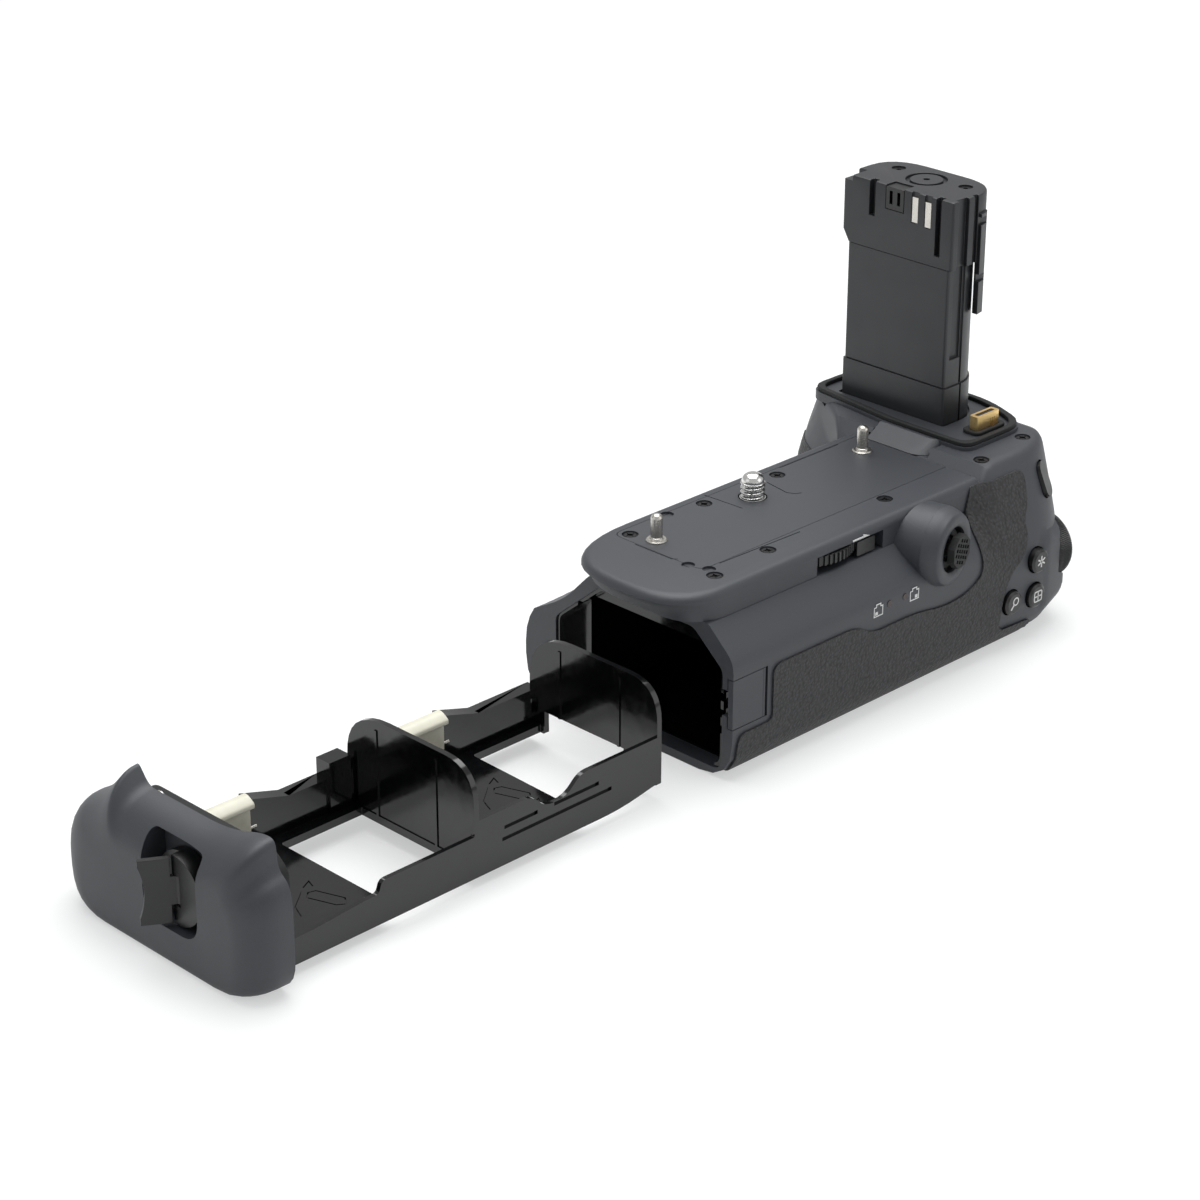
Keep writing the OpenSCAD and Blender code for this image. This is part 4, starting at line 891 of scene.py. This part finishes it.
def rail_cuts(bm):
    """Two notches across the rib."""
    for z in (9, 24.6):
        box(bm, TOWER_X, TOWER_Y - 3, RIB_Z + z, TOWER_X + 20, TOWER_Y + 0.2, RIB_Z + z + 2)


class GRIP_OT_tower(bpy.types.Operator):
    """Finishes the power tower, its gasket and the contact plug"""

    bl_idname = "grip.tower"
    bl_label = "Tower"

    def execute(self, context):
        small = sizes().small_edge_radius
        for node, name, draw, cut in (("tower_base", "tower_foot_shell", base_solid, base_cuts),
                                      ("tower_body", "tower_grooved_shell", body_solid, body_cuts),
                                      ("tower_head", "tower_head_shell", head_solid, head_cuts),
                                      ("tower_rail", "tower_guide_rib", rail_solid, rail_cuts)):
            carve(node, name, cut, "tower", small, draw)
        dress(["tower_terminal"], "control", small / 2)
        dress(["tower_contacts"], "steel", 0)
        dress(["tower_screws"], "dark_steel", 0)
        dress(["tower_gasket", "plug_seal"], "rubber", sizes().edge_radius)

        low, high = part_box("contact_plug")
        left, right, top = low.x / MM, high.x / MM, high.z / MM
        face = rear(low.y / MM)
        middle = (low.y + high.y) / 2 / MM

        def ribs(bm):
            """Four short ribs on the plug's face."""
            for k in range(4):
                x = left + 5 + k * 0.9
                prism(bm, box_outline(x, top - 3.9, x + 0.4, top - 1.4 + 0.1 * k, 0.05), face, -0.12, 0.3)

        def tongue(bm):
            """The contact tongue in the plug's slot."""
            rim = box_outline(left + 1.3, middle - 0.3, right - 1.3, middle + 0.3, 0.1)
            prism(bm, rim, flat(top), -0.98, -0.15)

        carve("contact_plug", "plug_shell", ribs, "gold", small / 2)
        seat(mesh_object("plug_tongue", tongue), "plug_seal", "control")
        return {"FINISHED"}


def knurled(bm, place, radius, width, bore, ribs):
    """A barrel-shaped dial with a fine diamond knurl."""
    rows, crown, cut, slant = 20, 0.9, 0.2, 5.5
    barrel = []
    for k in range(rows + 1):
        w = -1 + 2 * k / rows
        barrel.append((radius - crown * abs(w) ** 5, w * width / 2))

    def ripple(r, w, turn):
        """The radius at a height and a turn: two crossed waves where the barrel is."""
        if r < radius - 1:
            return r
        return r - cut * (1 - math.cos(ribs * turn + slant * w) * math.cos(ribs * turn - slant * w))

    profile = [(bore, -width / 2)] + barrel + [(bore, width / 2), (bore, -width / 2)]
    lathe(bm, profile, place, ribs * 6, ripple)


# The prints' height above their surface.
INK = 0.05


def asterisk(bm, place):
    """The lock button's print."""
    for k in range(3):
        end = Vector((math.sin(k * math.pi / 3), math.cos(k * math.pi / 3))) * 1.6
        stroke(bm, [-end, end], 0.42, place, 0, INK)


def four_panes(bm, place):
    """The frame button's print."""
    stroke(bm, box_outline(-1.5, -1.4, 1.5, 1.4, 0.5, 3), 0.36, place, 0, INK, closed=True)
    stroke(bm, [(0, -1.25), (0, 1.25)], 0.34, place, 0, INK)
    stroke(bm, [(-1.35, 0), (1.35, 0)], 0.34, place, 0, INK)


def magnifier(bm, place):
    """The zoom button's print."""
    stroke(bm, circle(0.45, 0.5, 1.0, 24), 0.36, place, 0, INK, closed=True)
    stroke(bm, [(-0.28, -0.28), (-1.4, -1.5)], 0.5, place, 0, INK)


def cell(bm, place, side):
    """A battery's outline with a filled block at its left, for side -1, or at its right."""
    battery = [(-1.6, -1.6), (1.6, -1.6), (1.6, 0.9), (0.8, 0.9), (0.8, 1.6), (-0.8, 1.6), (-0.8, 0.9),
               (-1.6, 0.9)]
    stroke(bm, battery, 0.28, place, 0, INK, closed=True)
    left, right = (-1.2, -0.2) if side < 0 else (0.2, 1.2)
    prism(bm, box_outline(left, -1.25, right, -0.4, 0.02), place, 0, INK)


def case_marks(bm):
    """Both battery prints beside the lamps, and the arrow above the lock wheel."""
    wall = rear(REAR_Y)
    cell(bm, wall @ Matrix.Translation((1.2, 29.1, 0)), -1)
    cell(bm, wall @ Matrix.Translation((15, 29.1, 0)), 1)
    arrow = [(0.5, 45.05), (6.9, 45.05), (4.4, 46), (4.4, 45.5), (0.5, 45.5)]
    prism(bm, arrow, rear(COVER_Y), -0.1, 0.04)


def guard_solid(bm):
    """The guard over the far part of the lock wheel's slot."""
    prism(bm, box_outline(2.3, 40.5, 9, 44.4, 0.5), rear(COVER_Y + 0.5), 0, 0.46)


# The joystick's frame: it faces the rear, turned a little towards the tower's end of the grip.
STICK_TURN = math.radians(12)
STICK = plane((28.6, -42.6, 37.2), (math.cos(STICK_TURN), math.sin(STICK_TURN), 0), (0, 0, 1))


def boss_solid(bm):
    """The joystick's boss: a low cone that rounds over into its well."""
    cone = [(0, -3.8), (10.6, -3.8), (10.35, -2.4), (9.9, -1), (9.4, -0.1)]
    angles = [k * math.pi / 12 for k in range(1, 7)]
    lip = [(7.3 + 2.1 * math.cos(a), -0.1 + 1.0 * math.sin(a)) for a in angles]
    well = [(6.5, 0.78), (6.05, 0.4), (6, 0), (6, -0.35), (6.9, -0.6), (6.9, -3.6), (0, -3.6)]
    lathe(bm, cone + lip + well, STICK, 72)


class GRIP_OT_controls(bpy.types.Operator):
    """Finishes the buttons, the dials, the joystick and the lock wheel"""

    bl_idname = "grip.controls"
    bl_label = "Controls"

    def execute(self, context):
        edge, small = sizes().edge_radius, sizes().small_edge_radius
        dress(["lock_button", "frame_button", "zoom_button", "focus_button", "shutter_button",
               "multi_button", "power_switch"], "control", edge)
        dress(["lock_wheel"], "control", small)
        dress(["rear_dial_axle", "main_dial_axle", "lock_wheel_pin"], "steel", 0)
        dress(["shutter_collar"], "case", edge)
        stand_in("joystick_boss", "rounded_joystick_boss", boss_solid, "case")
        dress(["joystick_gimbal", "joystick_stem", "joystick_cap"], "rubber", small)
        dress(["cord_cover"], "case", small)
        for node, name, u, v in (("rear_dial", "rear_dial_knurled", (0, 1, 0), (0, 0, 1)),
                                 ("main_dial", "main_dial_knurled", (1, 0, 0), (0, 0, 1))):
            low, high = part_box(node)
            place = plane((low + high) / 2 / MM, u, v)
            size = (high - low) / MM
            width = abs(size.dot(Vector(u).cross(Vector(v))))
            radius = max(size) / 2
            stand_in(node, name, lambda bm: knurled(bm, place, radius, width, 1.05, 58), "control")
        for node, name, draw in (("lock_button", "asterisk_print", asterisk),
                                 ("frame_button", "four_panes_print", four_panes),
                                 ("zoom_button", "magnifier_print", magnifier)):
            low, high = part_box(node)
            middle = (low + high) / 2 / MM
            place = plane((middle.x, low.y / MM, middle.z), (1, 0, 0), (0, 0, 1))
            seat(mesh_object(name, lambda bm: draw(bm, place)), node, "print")
        seat(mesh_object("case_print", case_marks), "main_case", "print")
        seat(mesh_object("wheel_guard", guard_solid), "top_cover", "control", small)
        return {"FINISHED"}


def near_wall(bm):
    """The near wall, low by the cap, with a step at the left bay and a finger scoop in the right one."""
    low = FLOOR_Z + 7.3
    high = FLOOR_Z + 11
    edge = [(TRAY_X0, TRAY_Z, 0.2), (TRAY_X1 - 14, TRAY_Z, 6), (TRAY_X1, TRAY_Z + 2.4, 2),
            (TRAY_X1, high, 0.6), (MIDDLE_X + 33.5, high, 2.5), (MIDDLE_X + 29, low - 0.6, 4),
            (MIDDLE_X + 22, low - 0.6, 4), (MIDDLE_X + 18, high, 2.5), (MIDDLE_X, high, 0.4),
            (MIDDLE_X, low, 0.4), (BAY_X0 + 29.6, low, 1.6), (BAY_X0 + 28.8, FLOOR_Z + 4.3, 1.2),
            (BAY_X0 + 25, FLOOR_Z + 4.3, 1), (BAY_X0 + 10, FLOOR_Z + 3.2, 3), (TRAY_X0, FLOOR_Z + 3.2, 0.2)]
    prism(bm, outline(edge, 4), rear(TRAY_Y0 + WALL_T), 0, WALL_T)


def hood(bm, x):
    """A sloped hood on the rail beside a bay lever."""
    end, top = x + 11.5, RAIL_Z + 3.4
    side = [(x, FLOOR_Z), (end, FLOOR_Z), (end, RAIL_Z), (x, top)]
    prism(bm, side, rear(TRAY_Y1), 0, RAIL_T)


def tray_solid(bm):
    """The tray: near wall, rail, floor, two arched walls with thin ribs, and the fittings on the rail."""
    rail_y = TRAY_Y1 - RAIL_T
    near_wall(bm)
    box(bm, TRAY_X0, rail_y, TRAY_Z, TRAY_X1, TRAY_Y1, RAIL_Z)
    box(bm, TRAY_X0, TRAY_Y0 + WALL_T / 2, FLOOR_Z - 2, TRAY_X1, TRAY_Y1 - 0.1, FLOOR_Z)
    near, far, foot, top = TRAY_Y0 + 0.01, TRAY_Y1 - 2.4, FLOOR_Z - 1.9, 30.8
    arch = outline([(near, foot, 0.5), (near, top, 10), (far, top, 14), (far, foot, 0.5)], 8)
    for x in (MIDDLE_X, LAST_X):
        prism(bm, arch, endwise(x), 0, 1.49)
        for y in (-2.4, -22.8):
            box(bm, x - 0.3, y, FLOOR_Z - 1, x + 1.8, y + 0.8, 28.3)
    box(bm, MIDDLE_X - 7.5, rail_y - 0.8, FLOOR_Z - 0.5, MIDDLE_X - 1, TRAY_Y1 - 0.05, RAIL_Z + 4.3)
    box(bm, BAY_X0 + 5, rail_y - 1, FLOOR_Z - 0.5, BAY_X0 + 11, TRAY_Y1 - 0.05, RAIL_Z - 1)
    for x in LEVER_X:
        hood(bm, x + LEVER_L / 2 + 0.4)


def loading_marks(bm, x, y):
    """Scored outlines on a bay's floor that show which way a battery goes in."""
    top = plane((x, y, FLOOR_Z), (0, -1, 0), (1, 0, 0))
    line, depth = 0.34, 0.3
    for path, closed in (([(0, 0), (7, 2.6), (9.2, 1), (8, -0.8), (1, -3.4), (-0.6, -1.8)], True),
                         ([(0.4, -5.4), (-2, -2.6), (2.4, -8), (6.4, -9.6)], False),
                         ([(10.4, 2.2), (14, 0.2), (15.4, -3), (12.6, -4.2)], True),
                         ([(-3, -1.2), (-4.4, 1.6), (-2, 0.8)], False)):
        stroke(bm, path, line, top, -depth, 0.5, closed)


def tray_cuts(bm):
    """Windows, the inner wall's cut-out, the levers' pockets and pins, slots, grooves and scored marks."""
    below, above = TRAY_Z - 1, FLOOR_Z + 0.5
    near, far = TRAY_Y0 + 1.6, TRAY_Y1 - 7.4
    left, right = MIDDLE_X - 24.9, MIDDLE_X - 0.3
    window = [(left, near, 4), (right, near, 0.1), (right, far, 0.1), (left, far, 1)]
    prism(bm, outline(window), flat(0), below, above)
    right, far = LAST_X - 0.3, TRAY_Y1 - 6.4
    window = [(LAST_X - 24, TRAY_Y0 + 3, 4), (right, near, 0.1), (right, far, 0.1), (LAST_X - 23, far, 1)]
    prism(bm, outline(window), flat(0), below, above)
    box(bm, LAST_X - 1, TRAY_Y0 + 11.3, below, TRAY_X1 + 1, TRAY_Y0 + 38.7, FLOOR_Z + 4)
    box(bm, LAST_X - 1.2, TRAY_Y1 - RAIL_T - 1, FLOOR_Z + 2.8, LAST_X + 0.8, TRAY_Y1 + 1, FLOOR_Z + 6.6)
    room, pin_radius = LEVER_L / 2 + 0.4, 0.6
    for x in LEVER_X:
        box(bm, x - room, TRAY_Y1 - 5.1, FLOOR_Z + 3, x + room, TRAY_Y1 - 1.5, 40)
        rod(bm, (x - LEVER_L / 2 - 2, *LEVER_AXIS), (1, 0, 0), pin_radius, LEVER_L + 4, 24)
    # Grooves of the near wall's outside: each one's place past the middle wall, its length and its height.
    for past, length, height in ((9.2, 10.5, 5.8), (25, 14.5, 5.8), (8.5, 35.2, 2.9)):
        x, z = MIDDLE_X + past, FLOOR_Z + height
        box(bm, x, TRAY_Y0 - 1, z, x + length, TRAY_Y0 + 0.6, z + 1)
    loading_marks(bm, -99.5, -12)
    loading_marks(bm, -162.5, -18.5)


def cap_in(d, r):
    """How far a side that rounds off with radius r is drawn in at depth d from the face."""
    return 0 if d >= r else r - math.sqrt(r * r - (r - d) ** 2)


def cap_solid(bm):
    """The end cap: the case's section with a hollow in its top edge, closed by a well rounded face."""
    rings = []
    for d in (CAP_T, CAP_T - 2, 8, 6.2, 4.6, 3.2, 2, 1.1, 0.4, 0.1, 0):
        side, foot, front = cap_in(d, 8), cap_in(d, 1.6), cap_in(d, CAP_T)
        shoulder, hollow, front_y = 36.4 - front * 0.95, 32.6 - front * 0.9, 30 - front
        rings.append(across(CAP_FACE + d, outline([
            (REAR_Y + side, foot, 9), (REAR_Y + side, 26.4 - front * 0.6, 6),
            (REAR_Y + 4.4 + side * 0.7, 29.6 - front * 0.7, 2), (REAR_Y + 5 + side * 0.7, shoulder, 2),
            (REAR_Y + 9 + side * 0.6, shoulder, 3), (REAR_Y + 21, hollow, 7),
            (6.5 - front * 0.2, hollow, 2), (10.2 - front * 0.3, 37.2 - front * 1.2, 1.2),
            (17.6 - front * 0.6, 29.2 - front * 0.85, 6), (front_y, 22 - front * 0.5, 7),
            (front_y, foot, 10)], 6)))
    skin(bm, rings)


def cap_cuts(bm):
    """The latch's recess, round at its lower corners, and the bore of its shaft."""
    recess = outline([(-23.3, 9.2, 6), (-4.3, 9.2, 6), (-4.3, 30.2, 1.8), (-23.3, 30.2, 1.8)], 8)
    depth, shaft_radius = 7, 2.55
    prism(bm, recess, endwise(CAP_FACE), -1, depth)
    rod(bm, (CAP_FACE, *LATCH_AXIS), (1, 0, 0), shaft_radius, CAP_T + 2)


def seal_rim(d):
    """Outline of the cap's seal, clear of the lined mouth and below the hollow of the cap."""
    near, far, low, high = -37.6 + d, 18 - d, 3.2 + d, 31.6 - d
    return outline([(near, low, 3), (near, 28 - d, 2), (-33 + d, high, 2), (9 - d, high, 2),
                    (far, 24.4 - d, 2), (far, low, 3)], 4)


def seal_solid(bm):
    """The seal's outside."""
    prism(bm, seal_rim(0.35), endwise(TRAY_X0), 0, 3.2)


def seal_cuts(bm):
    """The seal's inside, and room for the tray's end."""
    prism(bm, seal_rim(1.7), endwise(TRAY_X0), -1, 4)
    box(bm, TRAY_X0 - 1, TRAY_Y0 - 0.1, 0, TRAY_X0 + 5, TRAY_Y1 + 0.1, FLOOR_Z + 2)


def bay_catch(x):
    """What draws a bay's lever on its pin: an upright with a lip that holds the battery down."""
    def draw(bm):
        """The lever's side, drawn out to its length."""
        y, z = LEVER_AXIS
        side = outline([(y - 1, z - 1.4, 0.3), (y - 1, z + 5.6, 0.6), (y - 2.8, z + 6.2, 0.3),
                        (y - 2.8, z + 7.4, 0.5), (y - 0.6, z + 8.8, 1), (y + 1, z + 8.8, 0.4),
                        (y + 1, z - 1.4, 0.3)], 3)
        prism(bm, side, endwise(x), -LEVER_L / 2, LEVER_L / 2)
    return draw


def catch_bore(bm):
    """The bores of both bay levers, which clear their pins."""
    bore_radius = 0.65
    for x in LEVER_X:
        rod(bm, (x - LEVER_L, *LEVER_AXIS), (1, 0, 0), bore_radius, 2 * LEVER_L, 24)


class GRIP_OT_magazine(bpy.types.Operator):
    """Finishes the magazine tray, its levers, its end cap and its latch"""

    bl_idname = "grip.magazine"
    bl_label = "Magazine"

    def execute(self, context):
        small = sizes().small_edge_radius
        carve("tray", "tray_shell", tray_cuts, "gloss", small, tray_solid)
        carve("end_cap", "end_cap_shell", cap_cuts, "case", 0, cap_solid)
        for node, name, x in (("bay_lever_left", "left_bay_catch", LEVER_X[1]),
                              ("bay_lever_right", "right_bay_catch", LEVER_X[0])):
            carve(node, name, catch_bore, "cream", small, bay_catch(x))
        dress(["lever_pins", "cap_screws", "latch_cam", "latch_pin"], "steel", 0)
        carve("cap_seal", "cap_seal_ring", seal_cuts, "rubber", small, seal_solid)
        dress(["latch_knob", "latch_lever"], "control", small)
        return {"FINISHED"}


class GRIP_OT_screw(bpy.types.Operator):
    """Cuts the camera screw's thread and its gear"""

    bl_idname = "grip.screw"
    bl_label = "Camera screw"

    def execute(self, context):
        pitch = sizes().thread_pitch / MM
        foot, top = (corner.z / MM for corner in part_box("camera_screw"))
        radius, shank, cut = 3.175, 3.375, 0.72
        thread_start, thread_end = PLATE_Z + 0.2, PLATE_Z + 4.1

        def threads(r, w, turn):
            """The radius of the thread's V at a height and a turn, which runs out at both ends."""
            if w <= thread_start or w >= thread_end:
                return r
            phase = (w / pitch - turn / (2 * math.pi)) % 1
            flank = min(1, max(0, (abs(phase - 0.5) * 2 - 0.16) / 0.62))
            fade = min(1, (w - thread_start) / 0.4, (thread_end - w) / 0.3)
            return r - cut * (1 - flank) * fade

        def teeth():
            """The gear's outline of 1 mm module, whose gap faces the lock wheel's axis."""
            count = 20
            start = math.atan2(WHEEL_Y, WHEEL_X) + math.pi / count
            points = []
            for k in range(count):
                for at, out in ((-0.3, -1.15), (-0.16, 0.85), (0.16, 0.85), (0.3, -1.15)):
                    a = 2 * math.pi / count * (k + at) + start
                    points.append(((count / 2 + out) * math.cos(a), (count / 2 + out) * math.sin(a)))
            return points

        def draw(bm):
            """The gear, and the screw with its thread and its round tip."""
            prism(bm, teeth(), flat(0), foot, foot + 1.6)
            rows = int((thread_end - PLATE_Z) / 0.08)
            body = [(radius, PLATE_Z + (thread_end - PLATE_Z) * k / rows) for k in range(rows + 1)]
            tip_z = thread_end + 0.5
            angles = [k * math.pi / 20 for k in range(10)]
            tip = [(0.4 + 2.5 * math.cos(a), tip_z + (top - thread_end - 0.5) * math.sin(a)) for a in angles]
            profile = [(0, foot + 1.5), (shank, foot + 1.5), (shank, PLATE_Z - 0.05)] + body
            lathe(bm, profile + [(2.9, thread_end + 0.1)] + tip + [(0, top)], flat(0), 72, threads)

        stand_in("camera_screw", "threaded_screw", draw, "bright_steel")
        return {"FINISHED"}


def lamp(name, place, size, power):
    """A square area lamp that looks at the middle of the grip."""
    data = bpy.data.lights.new(name, "AREA")
    data.size = size
    data.energy = power
    obj = bpy.data.objects.new(name, data)
    obj.location = place
    aim = Vector((-0.05, 0, 0.03)) - Vector(place)
    obj.rotation_euler = aim.to_track_quat("-Z", "Y").to_euler()
    bpy.context.scene.collection.objects.link(obj)


def paper_floor():
    """White paper: part of its light comes by itself to the camera, and the lit part keeps the shadow."""
    material, tree = new_material("white_paper_floor")
    path = add_node(tree, "ShaderNodeLightPath")
    seen = path.outputs["Is Camera Ray"]
    for ray in ("Is Glossy Ray", "Is Transmission Ray"):
        either = add_node(tree, "ShaderNodeMath", {0: seen, 1: path.outputs[ray]}, operation="MAXIMUM")
        seen = either.outputs[0]
    half = add_node(tree, "ShaderNodeMath", {0: seen, 1: 0.5}, operation="MULTIPLY")
    glow = add_node(tree, "ShaderNodeEmission", {"Color": srgb("#fcfdfd"), "Strength": half.outputs[0]})
    paper = add_node(tree, "ShaderNodeBsdfDiffuse", {"Color": (0.47, 0.475, 0.475, 1.0)})
    both = add_node(tree, "ShaderNodeAddShader", {0: glow.outputs[0], 1: paper.outputs[0]})
    add_node(tree, "ShaderNodeOutputMaterial", {"Surface": both.outputs[0]})
    return material


class GRIP_OT_stage(bpy.types.Operator):
    """Makes the pale floor, the soft lamps and the camera"""

    bl_idname = "grip.stage"
    bl_label = "Stage"

    def execute(self, context):
        scene = context.scene
        settings = scene.grip_stage
        half = 6.0
        corners = [(-half, -half, 0), (half, -half, 0), (half, half, 0), (-half, half, 0)]
        mesh = bpy.data.meshes.new("floor")
        mesh.from_pydata(corners, [], [(0, 1, 2, 3)])
        mesh.materials.append(paper_floor())
        floor = bpy.data.objects.new("floor", mesh)
        scene.collection.objects.link(floor)
        floor.location.z = -0.2 * MM

        world = bpy.data.worlds.new("white_room")
        scene.world = world
        world.use_nodes = True
        tree = world.node_tree
        tree.nodes.clear()
        path = add_node(tree, "ShaderNodeLightPath")
        light = add_node(tree, "ShaderNodeMapRange",
                         {"Value": path.outputs["Is Camera Ray"], "To Min": settings.sky, "To Max": 0.97})
        sky = add_node(tree, "ShaderNodeBackground",
                       {"Color": (1.0, 1.0, 1.0, 1.0), "Strength": light.outputs[0]})
        add_node(tree, "ShaderNodeOutputWorld", {"Surface": sky.outputs[0]})

        lamp("key", (0.1, 0.15, 0.9), 0.9, settings.key_power)
        lamp("fill_rear", (0.5, -0.9, 0.5), 0.7, settings.fill_power)
        lamp("fill_cap", (-1.0, 0.35, 0.5), 0.7, settings.cap_power)

        data = bpy.data.cameras.new("camera")
        data.sensor_width = 36
        data.lens = settings.lens
        data.clip_start = 0.01
        camera = bpy.data.objects.new("camera", data)
        camera.location = settings.camera_place
        camera.rotation_euler = settings.camera_turn
        scene.collection.objects.link(camera)
        scene.camera = camera
        scene.view_settings.view_transform = "Standard"
        return {"FINISHED"}


class GRIP_PT_panel(bpy.types.Panel):
    """Lists the grip's pieces in the sidebar"""

    bl_idname = "GRIP_PT_panel"
    bl_label = "Battery Grip"
    bl_space_type = "VIEW_3D"
    bl_region_type = "UI"
    bl_category = "Battery Grip"

    def draw(self, context):
        for operator in OPERATORS:
            self.layout.operator(operator.bl_idname)
        for name in GROUPS:
            group = getattr(context.scene, name)
            for key in group.bl_rna.properties.keys():
                if key not in ("rna_type", "name"):
                    self.layout.prop(group, key)


OPERATORS = (GRIP_OT_case, GRIP_OT_covering, GRIP_OT_tower, GRIP_OT_controls, GRIP_OT_magazine,
             GRIP_OT_screw, GRIP_OT_stage)
GROUPS = {"grip_sizes": GripSizes, "grip_colours": GripColours, "grip_stage": StageSettings}


def register():
    """Registers the property groups, the operators and the panel."""
    for name, group in GROUPS.items():
        bpy.utils.register_class(group)
        setattr(bpy.types.Scene, name, bpy.props.PointerProperty(type=group))
    for kind in OPERATORS + (GRIP_PT_panel,):
        bpy.utils.register_class(kind)


def unregister():
    """Takes back what register did."""
    for kind in reversed(OPERATORS + (GRIP_PT_panel,)):
        bpy.utils.unregister_class(kind)
    for name, group in GROUPS.items():
        delattr(bpy.types.Scene, name)
        bpy.utils.unregister_class(group)


def main():
    """Makes every piece and the stage."""
    register()
    for operator in OPERATORS:
        group, name = operator.bl_idname.split(".")
        getattr(getattr(bpy.ops, group), name)()


if __name__ == "__main__":
    main()
